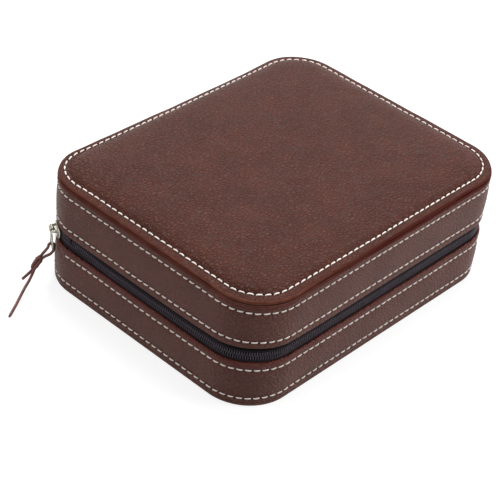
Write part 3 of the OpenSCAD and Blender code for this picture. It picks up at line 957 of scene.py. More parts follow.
ROLL = 0.55 * MM
WALL_SEAM = 0.34 * MM
TOP_SEAM = 0.42 * MM
WIDE_SWELL = 0.32 * MM
NARROW_SWELL = 0.16 * MM
# How far from a rim its moves reach
RIM_REACH = 5 * MM


def levels(low, high, rows):
    """Heights for the points of a wall: coarse all over, fine about the stitch rows and rims."""
    beside = MM * np.array([0.3, 0.6, 1, 1.5, 2.1, 3])
    about_row = np.concatenate([-beside, [0], beside])
    near_rim = MM * np.array([0.2, 0.5, 0.9, 1.4, 2.0])
    fine = [row + about_row for row in rows]
    every = np.concatenate([np.linspace(low, high, 16), *fine, low + near_rim, high - near_rim])
    every = np.unique(np.round(np.concatenate([every, [low, high]]), 6))
    every = every[(every >= low) & (every <= high)]
    keep = np.concatenate([[True], np.diff(every) > 0.12 * MM])
    return every[keep]


def wall_profile(low, high, rows):
    """Insets and heights of one section of a wall's leather, and one where it is the outer face:
    up that face, whose rims are rolled to a quarter round, then down the plain inner face."""
    z = levels(low, high, rows)[1:-1]
    turn = np.linspace(0, QUARTER, 5)
    roll_in = ROLL - ROLL * np.cos(turn)
    roll_up = ROLL * np.sin(turn)
    face = np.interp(z, [low, high], [low + ROLL, high - ROLL])
    inner = np.ones(4)
    inset = np.concatenate([roll_in[::-1], 0 * z, roll_in, LEATHER * inner])
    height = np.concatenate([
        low + ROLL - roll_up[::-1], face, high - ROLL + roll_up, np.linspace(high, low, 4)])
    outer = np.concatenate([np.ones(len(z) + 2 * len(turn)), 0 * inner])
    return inset[:, None], height[:, None], outer[:, None]


def swelling(height, edges):
    """Soft swell of leather between its seams and rims, larger where they lie far apart."""
    swell = 0
    for low, high in zip(edges[:-1], edges[1:]):
        size = WIDE_SWELL if high - low > 8 * MM else NARROW_SWELL
        swell = swell + size * np.sin(math.pi * np.clip((height - low) / (high - low), 0, 1)) ** 0.8
    return swell


def rim_fold(below):
    """Groove and bead pressed along a wall's upper rim, at distances below it."""
    return MM * (0.14 * bump(below - 2.0 * MM, 0.3 * MM) - 0.16 * bump(below - 1.4 * MM, 0.35 * MM))


def wall_skin(name, low, high, rows, low_moves, high_moves, low_rim, high_rim):
    """Leather of a wall: its profile carried round the case, less the seams of its rows, plus
    the swell between them and some unevenness. The rims' heights may move along the wall, and
    what lies near them moves along."""
    row_heights = [row for row, _, _ in rows]
    inset, height, outer = wall_profile(low, high, row_heights)
    s = ALL_ROUND[None, :]
    inset = inset + 0 * s
    height = height + 0 * s
    painted_shade = 0 * inset
    sink = 0 * inset
    for row, run, where in rows:
        off = height - row - run(s)
        sink += seam(off, s / PITCH, WALL_SEAM) * where(s)
        # Painted shade in each seam's channel and holes, with some dye gathered there.
        painted_shade = np.maximum(painted_shade, seam_shade(off, s / PITCH) * where(s))
    share = np.clip((height - low) / (high - low), 0, 1)
    uneven = sway(s, (3, 8, 17, 29), 0.10 * MM) * np.sin(math.pi * share)
    swell = swelling(height, [low, *row_heights, high])
    inset += outer * (sink - swell - uneven + high_rim * rim_fold(high - height))
    rim = np.maximum(low_rim * bump(height - low, 1.0 * MM), high_rim * bump(high - height, 2.5 * MM))
    rim = np.maximum(rim, 1 - outer)
    height += low_moves(s) * (1 - ease((height - low) / RIM_REACH))
    height += high_moves(s) * (1 - ease((high - height) / RIM_REACH))
    grid = around(s, inset, height)
    return surface(name, grid, wrap_rows=True, marks={"rim": rim, "painted_shade": painted_shade})


def everywhere(s):
    return np.ones_like(s)


def along_zip(s):
    """One where the zip's stitching runs on the base and where the hinge's does, zero between."""
    folded = np.minimum(np.mod(s, GIRTH), GIRTH - np.mod(s, GIRTH))
    return ((folded > ZIP_ROW_FROM) | (folded < HINGE_ROW_TO)).astype(float)


def still(s):
    return 0 * s


def make_walls():
    base = wall_skin("base_wall_skin", base_low.z, BASE_TOP,
                     [(ROW_BASE_LOW, BASE_LOW_LINE, everywhere),
                      (ROW_BASE_UP, BASE_ZIP_LINE, along_zip)],
                     still, BASE_EDGE, 0.0, 1.0)
    dress(base, WALL_LEATHER, "base", ["base_wall_leather"])
    lid = wall_skin("lid_wall_skin", LID_BOTTOM, LID_TOP,
                    [(ROW_LID_LOW, LID_ZIP_LINE, everywhere),
                     (ROW_LID_UP, LID_UP_LINE, everywhere)],
                    LID_EDGE, PANEL_EDGE, 0.15, 0.25)
    dress(lid, WALL_LEATHER, "lid", ["lid_wall_leather"])
    zip_end = GIRTH - ZIP_ROW_FROM
    for name, height, run, first, last, body in (
            ("base_low", ROW_BASE_LOW, BASE_LOW_LINE, 0, GIRTH, "base"),
            ("base_zip", ROW_BASE_UP, BASE_ZIP_LINE, ZIP_ROW_FROM, zip_end, "base"),
            ("base_hinge", ROW_BASE_UP, BASE_ZIP_LINE, -HINGE_ROW_TO, HINGE_ROW_TO, "base"),
            ("lid_low", ROW_LID_LOW, LID_ZIP_LINE, 0, GIRTH, "lid"),
            ("lid_up", ROW_LID_UP, LID_UP_LINE, 0, GIRTH, "lid")):
        wall_row("stitches_" + name, height, run, first, last, body)


make_walls()


# Bottom leather, turned up round the lower edge

def make_bottom():
    """Sheet over the underside that curves up at the outline by a quarter round, with an inner
    face its own thickness away, and a shallow crease pressed in near the edge."""
    turn = np.linspace(0, QUARTER, 7)
    under = MM * np.array([76, 60, 45, 32, 24, 20, 15, 11, 9.4, 8.8, 8.4, 8, 7.6, 7.2, 6.6, 5, 3.4])
    crease = bump(under - 8 * MM, 0.5 * MM)
    curve_in = EDGE_R - EDGE_R * np.sin(turn)
    curve_up = EDGE_R - EDGE_R * np.cos(turn)
    curve_in[-1] = 0
    curve_up[-1] = BOTTOM_R
    small = BOTTOM_R - LEATHER
    inset = np.concatenate([
        under, curve_in, BOTTOM_R - small * np.sin(turn[::-1]), under[::-1]])[:, None]
    height = np.concatenate([
        0.3 * MM * crease, curve_up, BOTTOM_R - small * np.cos(turn[::-1]),
        0 * under + LEATHER])[:, None]
    grid = plan_ring(ALL_ROUND[None, :], inset + 0 * ALL_ROUND, height + 0 * ALL_ROUND)
    zero = np.zeros(grid.shape[:2])
    # Painted shade in the pressed crease.
    painted_shade = zero.copy()
    painted_shade[:len(under)] = crease[:, None]
    skin = surface("bottom_skin", grid, poles=True, marks={"rim": zero, "painted_shade": painted_shade})
    dress(skin, WALL_LEATHER, "base", ["base_bottom_leather"])


make_bottom()


# Top of the lid: the welt and the padded leather

BORDER_TOP = WELT_TOP + 1.8 * MM
CROWN_H = CROWN_TOP - BORDER_TOP
WELT_PLY = (WELT_TOP - LID_TOP) / 2
WELT_PROUD = 0.3 * MM
WELT_DEEP = 8 * MM


def make_welt():
    """Two thin plies on each other, each with a half round outer edge that wanders slightly, so that fine
    dark lines run between them. Painted shade at the top and bottom of each ply deepens these lines."""
    turn = np.linspace(-QUARTER, QUARTER, 8)[:, None]
    r = WELT_PLY / 2
    s = ALL_ROUND[None, :]
    insets = []
    heights = []
    painted_shade = []
    for ply, seed in ((0, 1), (1, 6)):
        wave = sway(s, (4 + seed, 9 + seed, 21 + seed, 37), 0.09 * MM)
        insets.append(r - WELT_PROUD + 0.18 * MM * ply - r * np.cos(turn) + wave)
        heights.append(LID_TOP + r + ply * WELT_PLY + r * np.sin(turn) + 0 * s)
        # Painted shade at the top and bottom of each ply, where the plies meet, and on the hidden back.
        painted_shade.append(np.abs(np.sin(turn)) ** 6 + 0 * s)
    back = np.zeros((2, 1)) + 0 * s
    inset = np.concatenate([*insets, back + WELT_DEEP])
    height = np.concatenate([*heights, back + [[WELT_TOP], [LID_TOP]]]) + PANEL_EDGE(s)
    marks = {"painted_shade": np.concatenate([*painted_shade, back + 1]), "rim": burnish(s) + 0 * height}
    welt = surface("welt_plies", around(s, inset, height), wrap_rows=True, marks=marks)
    dress(welt, WELT_LEATHER_LIGHTENED, "lid", ["lid_welt"])


# Insets of the top's rings below its rolled edge, and above it: fine about the row of stitches
TOP_UNDER = MM * np.array([76, 60, 44, 30, 20, 12, 8.2, 6, 3])[:, None]
TOP_BORDER = MM * np.concatenate([
    np.arange(1.3, 4.3, 0.5), np.arange(4.3, 7.0, 0.22), np.arange(7.2, 12, 0.6),
    np.arange(12, 20, 1.2), np.arange(20, 79, 3.1)])[:, None]

# The padding: where it starts, the height and width of its shoulder, and the width of its dome
CROWN_FROM = 5.9 * MM
SHOULDER = 2.5 * MM
SHOULDER_W = 12 * MM
DOME_W = 42 * MM
FOLD_H = 0.045 * MM


def crown_height(inset):
    """Rise of the padding over the border: a low shoulder beside the stitch line, a quarter
    ellipse softened at its foot, and a dome that levels out towards the middle as a quarter
    sine."""
    past = np.maximum(inset - CROWN_FROM, 0)
    near = np.clip(past / SHOULDER_W, 0, 1)
    far = np.clip(past / DOME_W, 0, 1)
    shoulder = np.sqrt(1 - (1 - near) ** 2) * (0.5 + 0.5 * ease(near / 0.2))
    dome = np.sin(QUARTER * far)
    return SHOULDER * shoulder + (CROWN_H - SHOULDER) * dome


def make_top():
    """Top leather: from the middle of its underside out to the rolled edge, over it, across the
    border with its seam, and up over the crown to the middle. Its edge and its border follow
    their own lines round the case."""
    s = ALL_ROUND[None, :]
    turn = np.linspace(-QUARTER, QUARTER, 13)[:, None]
    r = (BORDER_TOP - WELT_TOP) / 2
    down = (1 - np.sin(turn)) / 2
    edge_wave = sway(s, (5, 12, 19, 33), 0.10 * MM)
    edge_inset = r - r * np.cos(turn) + edge_wave + FAR_RIM(s)
    edge_height = WELT_TOP + r + r * np.sin(turn) + PANEL_EDGE(s) * down - FAR_DROP(s) * (1 - down)
    near_edge = 1 - ease((TOP_BORDER - 1.3 * MM) / (4 * MM))
    inset = np.concatenate([TOP_UNDER + 0 * s, edge_inset, TOP_BORDER + FAR_RIM(s) * near_edge])
    under = slice(0, len(TOP_UNDER))
    edge = slice(under.stop, under.stop + len(turn))
    above = slice(edge.stop, None)
    grid = plan_ring(s, inset, 0 * inset)
    rise = crown_height(true_inset(grid[..., 0], grid[..., 1]))
    off = inset[above] - ROW_TOP - TOP_LINE(s)
    stitches = top_stitches(s)
    lowered = seam(off, stitches, TOP_SEAM) + edge_drop(s, TOP_BORDER)
    grid[under, :, 2] = WELT_TOP + rise[under] + PANEL_EDGE(s) * (1 - ease(TOP_UNDER / (8 * MM)))
    grid[edge, :, 2] = edge_height
    grid[above, :, 2] = BORDER_TOP + rise[above] + soft_folds(grid[above]) - lowered
    painted_shade = 0 * inset
    # Painted shade along the row of stitches, with some dye gathered at the holes.
    painted_shade[above] = seam_shade(off, stitches)
    # Painted shade in the groove under the rolled edge, where it meets the welt.
    painted_shade[edge] = 0.8 * bump(np.sin(turn) + 0.93, 0.16)
    rim = 0 * inset
    rim[under] = 1
    rim[edge] = burnish(s)
    rim[above] = 0.7 * bump(inset[above] - 0.4 * MM, 1.1 * MM)
    top = surface("padded_top", grid, poles=True, marks={"rim": rim, "painted_shade": painted_shade})
    dress(top, TOP_LEATHER, "lid", ["lid_top_leather"])
    paint_rows(top, EDGE_LEATHER, edge.start - 1, edge.stop - 2)
    top_row()


def top_stitches(s):
    """Number of stitches, with its fraction, along the top's row up to each distance s."""
    loop = knots(ROW_TOP)
    return np.interp(s, KNOTS, loop) / loop[-1] * round(loop[-1] / PITCH)


def paint_rows(piece, material, first, last):
    """Gives a second material to the faces between two rows of points."""
    piece.data.materials.append(material)
    which = np.zeros(len(piece.data.polygons), np.int32)
    which[first * COLUMNS:last * COLUMNS] = 1
    piece.data.polygons.foreach_set("material_index", which)


def soft_folds(points):
    """Faint waves of the leather over the padding: a few crossed sine waves that fade out at
    the seam."""
    x = points[..., 0]
    y = points[..., 1]
    waves = (np.sin(x / (11 * MM) + 2.1 * np.sin(y / (24 * MM)))
             + np.sin(y / (9 * MM) + 1.3 * np.sin(x / (31 * MM)) + 1.1))
    return FOLD_H * waves * ease((true_inset(x, y) - 9 * MM) / (16 * MM))


make_welt()
make_top()


# Zip

ZIP_FROM = RUN_X + CORNER_R * math.radians(26)
ZIP_TO = GIRTH - ZIP_FROM
LID_ZIP_FROM = RUN_X + CORNER_R * QUARTER + 0.3 * MM
TEETH = 377
TOOTH_PITCH = (ZIP_TO - ZIP_FROM) / TEETH
ZIP_MID = (BASE_TOP + LID_BOTTOM) / 2
COIL_OUT = 0.9 * MM
COIL_DEEP = 1.8 * MM
COIL_MID = COIL_OUT + COIL_DEEP / 2
LOOP_STEPS = 12
WIRE_R = 0.28 * MM
ROW_NEAR = 0.22 * MM
MESH = 0.2 * MM
ROW_FAR = 2.45 * MM


def coil(name, first, last, side):
    """One row of coil teeth: a wire wound in flattened loops. Along the zip the wire advances
    one pitch a turn, and across it follows a rounded rectangle, a circle whose sine and cosine
    are raised to the power 0.7. Past the slider the loops of both rows reach over the middle,
    half a pitch apart."""
    start = math.ceil((first - ZIP_FROM) / TOOTH_PITCH)
    end = math.floor((last - ZIP_FROM) / TOOTH_PITCH)
    t = start + np.arange((end - start) * LOOP_STEPS + 1) / LOOP_STEPS
    swing = 2 * math.pi * (t + (1 + side) / 4)
    rise = power(np.cos(swing), 0.7)
    out = power(np.sin(swing), 0.7)
    s = ZIP_FROM + t * TOOTH_PITCH + 0.16 * TOOTH_PITCH * rise
    near = ROW_NEAR - (ROW_NEAR + MESH) * ease((s - ZIP_ROW_FROM - 6 * MM) / (2 * MM))
    middle = ZIP_MID + side * (near + ROW_FAR) / 2
    half = (ROW_FAR - near) / 2 - WIRE_R
    inset = COIL_MID - out * (COIL_DEEP / 2 - WIRE_R)
    wire = around(s, inset, middle + side * half * rise + TEETH_LINE(s))
    heart = around(s, COIL_MID, middle + TEETH_LINE(s))
    return surface(name, tube_rings(wire, WIRE_R, 6, out=wire - heart), poles=True)


# Section of a tape: insets, heights off the zip's middle, of which the first and the last are at the hidden
# edge, and how much painted shade it has: shadow behind the leather, under the lid's lip and inside the
# coil's loops
TAPE_CORE = 0.7 * MM
TAPE_INSET = MM * np.array([1.25, 1.4, 1.3, 1.15, 1.3, 1.5, 1.75, 1.75, 1.75, 2.3, 2.3, 1.8, 1.8])
TAPE_OFF = MM * np.array([
    np.nan, 3.55, 3.3, 3.0, 2.7, 2.35, 2.05, 1.25, 0.7, 0.7, 2.45, 3.55, np.nan])
TAPE_PAINTED_SHADE = np.array([1, 1, 0.6, 0, 0.5, 0.9, 1, 1, 1, 1, 1, 1, 1])


def tape_strip(name, first, last, hidden, side):
    """Woven tape: behind the leather up to the coil, then on as the core inside its loops, with
    a raised cord beside the coil. A closed profile carried along the zip."""
    s = np.linspace(first, last, int((last - first) / (1.2 * MM)))[:, None]
    core = ZIP_MID + side * TAPE_CORE
    off = np.where(np.isnan(TAPE_OFF), 0, TAPE_OFF)
    height = np.where(np.isnan(TAPE_OFF), hidden, ZIP_MID + side * off)[None, :]
    dark = TAPE_PAINTED_SHADE.copy()
    if side < 0:
        # Below the teeth no lip overhangs, so the lower tape gets less painted shade.
        dark[1:6] = (0.3, 0, 0, 0, 0.5)
    reach = np.abs(height - hidden) / abs(core - hidden)
    grid = around(s, TAPE_INSET[None, :] + 0 * s, height + TEETH_LINE(s) * reach)
    return surface(name, grid, poles=True, marks={"painted_shade": dark[None, :] + 0 * s})


CLIP_DEEP = 1.05 * MM


def clip(name, first, last, low, high):
    """Metal clip over the teeth: a rounded bar, its section a rounded rectangle whose size
    falls to nothing in a quarter round at both ends."""
    t = np.linspace(-1, 1, 15)
    s = (first + last) / 2 + t * (last - first) / 2
    turn = circle(28)
    size = np.sqrt(np.clip(1 - np.abs(t) ** 7, 0.02, 1))[:, None]
    inset = COIL_MID - 0.1 * MM + CLIP_DEEP * power(np.cos(turn), 0.45) * size
    height = (low + high) / 2 + (high - low) / 2 * power(np.sin(turn), 0.45) * size
    return surface(name, around(s[:, None], inset, height), poles=True)


def make_zip():
    low_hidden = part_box("zip_tape_lower")[0].z + 0.2 * MM
    up_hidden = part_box("zip_tape_upper")[1].z - 0.2 * MM
    lip = LID_BOTTOM - 0.3 * MM
    corner_end = LID_ZIP_FROM - 0.4 * MM
    rows = (
        ("low", "lower", "base", -1, ZIP_FROM, ZIP_TO, ZIP_TO, low_hidden),
        ("corner", "corner", "base", 1, ZIP_FROM, corner_end - 0.4 * MM, corner_end, lip),
        ("up", "upper", "lid", 1, LID_ZIP_FROM, ZIP_TO, ZIP_TO, up_hidden),
    )
    for name, node_end, body, side, first, last, _, _ in rows:
        teeth = coil("coil_" + name, first, last, side)
        dress(teeth, ZIP_COIL, body, ["zip_coil_" + node_end])
    for name, node_end, body, side, first, _, last, hidden in rows:
        tape = tape_strip("tape_" + name, first, last, hidden, side)
        dress(tape, ZIP_TAPE, body, ["zip_tape_" + node_end])
    stop = CORNER_R * math.radians(3)
    row_low = (ZIP_MID - ROW_FAR - 0.1 * MM, ZIP_MID - ROW_NEAR)
    row_up = (ZIP_MID + ROW_NEAR, ZIP_MID + ROW_FAR + 0.1 * MM)
    ends = (
        ("stop_low", ZIP_TO, *row_low, "base", "zip_stop_lower"),
        ("stop_up", ZIP_TO, *row_up, "lid", "zip_stop_upper"),
        ("stop_end", ZIP_FROM - stop, row_low[0], row_up[1], "base", "zip_end_stop"),
    )
    for name, first, low, high, body, stands_for in ends:
        piece = clip(name, first, first + stop, low, high)
        dress(piece, METAL, body, [stands_for])


make_zip()


# Slider and pull, in the slider's own frame

PLATE_R = 26.4 * MM
PLATE_OUT = 27.6 * MM
SHOE_R = 22.8 * MM
SHOE_OUT = 24.0 * MM
PLATE_SPAN = math.radians(11.4)
PLATE_SHOULDER = 3.75 * MM
PLATE_TAIL = 3.3 * MM
BAR_Z = 33.5 * MM
BAR_R = 0.8 * MM
EYE_R = 1.55 * MM
EYE_HOLE = 0.85 * MM
EYE_L = 3.4 * MM
TAB_LEAN = 0.09
LEAN_FROM = 26.8 * MM
PULL_W = 4.6 * MM
PULL_T = 1.1 * MM
TIP_Z = 20.0 * MM
HOLE_LOW = 22.6 * MM
HOLE_HIGH = 26.6 * MM
HOLE_W = 2.4 * MM


def curved_plate(name, low_r, high_r):
    """Plate bent round the corner: its outline is a rounded shield, wide at the shoulders and
    narrower at the tail, and its thickness is closed by a half round all along the outline."""
    turn = circle(72)
    across = power(np.cos(turn), 0.5)
    upward = power(np.sin(turn), 0.6)
    half_h = PLATE_SHOULDER + (PLATE_TAIL - PLATE_SHOULDER) * ease((across + 0.2) / 1.2)
    roll = np.linspace(QUARTER, -QUARTER, 9)
    face = np.array([0.15, 0.5, 0.8])
    shrink = np.concatenate([face, 0.93 + 0.07 * np.cos(roll), face[::-1]])[:, None]
    depth = np.concatenate([0 * face + 1, np.sin(roll), 0 * face - 1])[:, None]
    angle = SLIDER_DIR + PLATE_SPAN * across * shrink
    r = (low_r + high_r) / 2 + (high_r - low_r) / 2 * depth
    z = ZIP_MID + half_h * upward * shrink
    grid = np.stack([r * np.cos(angle) - RUN_X, r * np.sin(angle) + RUN_Y, z], axis=-1)
    # Painted shade, growing to full on the face turned towards the middle of the case.
    return surface(name, grid, poles=True, marks={"painted_shade": 0.5 - 0.5 * depth + 0 * z})


def bridge():
    """Arched bar that carries the pull: out of the plate, along it, and back in."""
    half = [(27.0, 3.15), (28.2, 3.15), (29.4, 3.05), (BAR_OUT / MM, 2.4), (BAR_OUT / MM, 1.2)]
    points = [(out, -along) for out, along in half] + [(BAR_OUT / MM, 0)] + half[::-1]
    middle = MM * np.array([(out, along, BAR_Z / MM) for out, along in points])
    rings = tube_rings(at_slider(smooth_line(middle, 5)), BAR_R, 16, out=UP)
    # Painted shade on the underside of the bar.
    under = 0.5 - 0.5 * np.sin(circle(rings.shape[1])) + 0 * rings[..., 0]
    return surface("bridge", rings, poles=True, marks={"painted_shade": under})


def neck():
    """Post between the plates, thin enough to pass between the rows of teeth."""
    turn = circle(24)
    r = np.array([SHOE_OUT - 0.3 * MM, SHOE_OUT + 0.2 * MM, PLATE_R - 0.2 * MM, PLATE_R + 0.3 * MM])
    wide = 1.7 * MM * power(np.cos(turn), 0.6)
    tall = 0.19 * MM * power(np.sin(turn), 0.6)
    grid = np.stack(np.broadcast_arrays(r[:, None], wide, ZIP_MID + tall), axis=-1)
    return surface("neck", at_slider(grid), poles=True)


def tab():
    """Flat tab of the pull with a slot for the thong: a rounded rectangle carried round between
    the outline, which has a waist and a round tip, and the slot's rounded outline."""
    turn = circle(72)
    wave = np.sin(turn)
    centre = (HOLE_LOW + HOLE_HIGH) / 2
    top = BAR_Z - 0.7 * EYE_R
    tall = np.where(wave < 0, centre - TIP_Z, top - centre) * power(wave, 0.8)
    waist = 1 - 0.2 * bump(tall - 5.0 * MM, 2.6 * MM)
    outline = np.stack([PULL_W / 2 * power(np.cos(turn), 0.55) * waist, centre + tall], axis=-1)
    slot_z = centre + (HOLE_HIGH - HOLE_LOW) / 2 * power(wave, 0.7)
    slot = np.stack([HOLE_W / 2 * power(np.cos(turn), 0.7), slot_z], axis=-1)
    ring = circle(20)
    across = (0.5 + 0.5 * power(np.cos(ring), 0.35))[:, None]
    thick = (PULL_T / 2 * power(np.sin(ring), 0.5))[:, None]
    flat = outline + (slot - outline) * across[..., None]
    out = BAR_OUT + thick - TAB_LEAN * (LEAN_FROM - flat[..., 1])
    grid = np.stack([out, flat[..., 0], flat[..., 1]], axis=-1)
    # Painted shade round the slot, most at its rim.
    inner = np.clip(2 * across - 1, 0, 1) + 0 * out
    return surface("tab", at_slider(grid), wrap_rows=True, marks={"painted_shade": inner ** 2})


def eye():
    """Barrel of the pull round the bridge: a rounded rectangle turned about the bar."""
    turn = circle(40)
    ring = circle(20)[:, None]
    r = (EYE_R + EYE_HOLE) / 2 + (EYE_R - EYE_HOLE) / 2 * power(np.cos(ring), 0.5)
    along = EYE_L / 2 * power(np.sin(ring), 0.3)
    out = BAR_OUT + r * np.cos(turn)
    grid = np.stack(np.broadcast_arrays(out, along, BAR_Z + r * np.sin(turn)), axis=-1)
    # Painted shade inside the bore.
    bore = np.clip(-np.cos(ring), 0, 1) ** 0.5 + 0 * out
    return surface("eye", at_slider(grid), wrap_rows=True, marks={"painted_shade": bore})


def make_slider():
    outer = curved_plate("outer", PLATE_R, PLATE_OUT)
    inner = curved_plate("inner", SHOE_R, SHOE_OUT)
    body = joined("slider_body", [outer, inner, bridge(), neck()])
    dress(body, METAL, "slider", ["zip_slider"])
    pull = joined("pull_tab", [tab(), eye()])
    dress(pull, METAL, "pull", ["slider_pull"])


make_slider()


# Leather hinge strip across the back

# Its edges, how far it is tucked behind the wall leathers, and over what height it comes forward
HINGE_LOW = 26.2 * MM
HINGE_HIGH = 38.3 * MM
HINGE_TUCK = 1.2 * MM
HINGE_STEP = 0.9 * MM


def make_hinge():
    """Strip tucked behind both wall leathers and brought forward in the gap between them, with
    a shallow fold along its middle. It ends just before the zip's stops."""
    reach = RUN_X + CORNER_R * math.radians(22)
    s = np.linspace(-reach, reach, 260)[:, None]
    z = np.linspace(HINGE_LOW, HINGE_HIGH, 40)
    gap = ease((z - HINGE_LOW - HINGE_TUCK) / HINGE_STEP) * ease((HINGE_HIGH - HINGE_TUCK - z) / HINGE_STEP)
    outer = 1.25 * MM - 0.85 * MM * gap + 0.16 * MM * bump(z - ZIP_MID, 0.8 * MM)
    inner = 1.75 * MM - 0.35 * MM * gap
    inset = np.concatenate([outer, inner[::-1]])
    height = np.concatenate([z, z[::-1]])
    wave = 0.05 * MM * np.sin(s / (6.1 * MM))
    grid = around(s, inset + wave, height + 0 * s)
    zero = np.zeros(grid.shape[:2])
    # Painted shade along the fold in the middle.
    painted_shade = zero + 0.5 * bump(height - ZIP_MID, 0.5 * MM)
    strip = surface("hinge_strip", grid, poles=True, marks={"rim": zero + 0.25, "painted_shade": painted_shade})
    strip.data.materials.append(WALL_LEATHER)
    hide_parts("hinge_spine")
    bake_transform(strip)


make_hinge()


# Linings

def lining_shell(name, rim_z, floor_z, back_z):
    """Suede over the inside of a half: a floor that turns up into the wall, a wall, and a rolled
    rim over the board's edge, with a thin underside. Works either way up, by the signs of the
    heights."""
    up = 1 if rim_z > floor_z else -1
    s = ALL_ROUND[None, ::2]
    turn = np.linspace(0, QUARTER, 6)
    fillet = 1.6 * MM
    floor = np.array([77, 60, 44, 30, 22, 16, 11, 8]) * MM
    rim_r = (INNER_U - BOARD_IN - 0.1 * MM) / 2
    rim_mid = INNER_U - rim_r
    over = np.linspace(0, math.pi, 11)
    inset = np.concatenate([
        floor, INNER_U + fillet - fillet * np.sin(turn), [INNER_U, INNER_U],
        rim_mid + rim_r * np.cos(over), [BOARD_IN + 0.15 * MM, LINING_U + 0.1 * MM],
        [LINING_U + 0.1 * MM], floor[::-1]])
    height = np.concatenate([
        0 * floor + floor_z, floor_z + up * fillet * (1 - np.cos(turn)),
        [floor_z + 0.4 * (rim_z - floor_z), rim_z - up * 2.4 * MM],
        rim_z - up * 0.75 * rim_r + up * 0.75 * rim_r * np.sin(over),
        [rim_z - up * 1.55 * MM, rim_z - up * 1.7 * MM], [back_z], 0 * floor + back_z])
    wave = sway(s, (4, 9, 15), 0.06 * MM)
    on_wall = (np.abs(inset - INNER_U) < 0.01 * MM)[:, None]
    grid = plan_ring(s, inset[:, None] + wave * on_wall, height[:, None] + 0 * s)
    return surface(name, grid, poles=True)


def make_linings():
    base = lining_shell("base_suede", BASE_TOP - 0.3 * MM, FLOOR_TOP, FLOOR_TOP - 0.5 * MM)
    dress(base, LINING_SUEDE, "base", ["base_lining"])
    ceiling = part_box("lid_lining")[1].z - 0.6 * MM
    lid = lining_shell("lid_suede", LID_BOTTOM + 0.3 * MM, ceiling, ceiling + 0.5 * MM)
    dress(lid, LINING_SUEDE, "lid", ["lid_lining"])


make_linings()


# Dividers

def soft_board(name, low, high, r):
    """Padded board between two corners: a box whose edges are rounded by r, its faces slightly
    swollen. Each ring is a rounded rectangle across the longest way, and the end rings close
    in by a quarter round."""
    low = np.array(low)
    high = np.array(high)
    size = (high - low) / 2
    middle = (high + low) / 2
    axis = int(np.argmax(size))
    u, v = [k for k in range(3) if k != axis]
    ends = np.linspace(0, QUARTER, 5)
    body = np.linspace(-size[axis] + r, size[axis] - r, 40)
    close_in = r - r * np.sin(ends)
    shift = r - r * np.cos(ends)
    t = np.concatenate([shift - size[axis], body[1:-1], (size[axis] - shift)[::-1]])
    draw = np.concatenate([close_in, 0 * body[1:-1], close_in[::-1]])[:, None]
    turn = circle(48)
    square = [np.clip(1.6 * wave, -1, 1) for wave in (np.cos(turn), np.sin(turn))]
    at_corner = np.abs(square[0] * square[1]) * np.hypot(*square) > 1.2
    grid = np.zeros((len(t), len(turn), 3))
    grid[..., axis] = middle[axis] + t[:, None]
    for k, share in zip((u, v), square):
        grid[..., k] = middle[k] + share * (size[k] - draw) - np.sign(share) * 0.3 * r * at_corner
    return surface(name, grid, poles=True)


# Half the width that each divider leaves for the other
DIVIDER_GAP = 1.85 * MM


def make_dividers():
    """Each divider is two full boards and a half-height link in the middle, where the other
    passes over or under it."""
    for name, axis, link_low in (("divider_long", 0, True), ("divider_cross", 1, False)):
        low, high = (np.array(c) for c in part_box(name))
        half_up = (low[2] + high[2]) / 2
        left_high = high.copy()
        left_high[axis] = -DIVIDER_GAP
        right_low = low.copy()
        right_low[axis] = DIVIDER_GAP
        link_a = low.copy()
        link_b = high.copy()
        link_a[axis] = -DIVIDER_GAP - 2 * MM
        link_b[axis] = DIVIDER_GAP + 2 * MM
        link_a[1 - axis] += 0.15 * MM
        link_b[1 - axis] -= 0.15 * MM
        if link_low:
            link_a[2] += 0.1 * MM
            link_b[2] = half_up - 0.2 * MM
        else:
            link_a[2] = half_up + 0.5 * MM
            link_b[2] -= 0.1 * MM
        boards = [
            soft_board("left", low, left_high, 1.1 * MM),
            soft_board("right", right_low, high, 1.1 * MM),
            soft_board("link", link_a, link_b, 0.8 * MM),
        ]
        piece = joined(name + "_suede", boards)
        dress(piece, LINING_SUEDE, "base", [name])


make_dividers()


# Pillows and the pad in the lid

PILLOW_L = 76 * MM
PILLOW_W = 54 * MM
PILLOW_H = 36 * MM
VOXEL = 3.2 * MM
PRESSURE = 4.0
SIM_FRAMES = 20
SIM_CAP = 3.0 * MM


def cushion_grid(a, b, h, draw):
    """Closed cushion that stands on zero: rings of a rounded rectangle with its sides drawn in,
    stacked along a rounded side."""
    turn = circle(48)
    x = power(np.cos(turn), 0.25)
    y = power(np.sin(turn), 0.25)
    full = 1 - draw / 2
    px = a * x * (1 - draw * (1 - y * y)) / full
    py = b * y * (1 - draw * (1 - x * x)) / full
    t = np.linspace(-QUARTER, QUARTER, 19)
    z = h / 2 + h / 2 * power(np.sin(t), 0.8)
    s = 0.10 + 0.90 * np.cos(t) ** 0.42
    s = s[:, None]
    return np.stack(np.broadcast_arrays(px * s, py * s, z[:, None]), axis=-1)


def puff(piece):
    """Blows a closed mesh up as cloth under slight pressure, for 20 frames, and keeps each point
    within a few millimetres of where it was."""
    remesh = piece.modifiers.new("remesh", "REMESH")
    remesh.mode = "VOXEL"
    remesh.voxel_size = VOXEL
    apply_modifiers(piece)
    rest = vertex_places(piece)
    cloth = piece.modifiers.new("cloth", "CLOTH")
    cloth.settings.use_pressure = True
    cloth.settings.uniform_pressure_force = PRESSURE
    cloth.settings.effector_weights.gravity = 0.0
    cloth.settings.quality = 5
    cloth.point_cache.frame_start = 1
    cloth.point_cache.frame_end = SIM_FRAMES
    for step in range(1, SIM_FRAMES + 1):
        bpy.context.scene.frame_set(step)
    apply_modifiers(piece)
    bpy.context.scene.frame_set(1)
    moved = vertex_places(piece) - rest
    far = np.linalg.norm(moved, axis=1)[:, None]
    set_places(piece, rest + moved * np.minimum(1, SIM_CAP / np.maximum(far, 1e-9)))


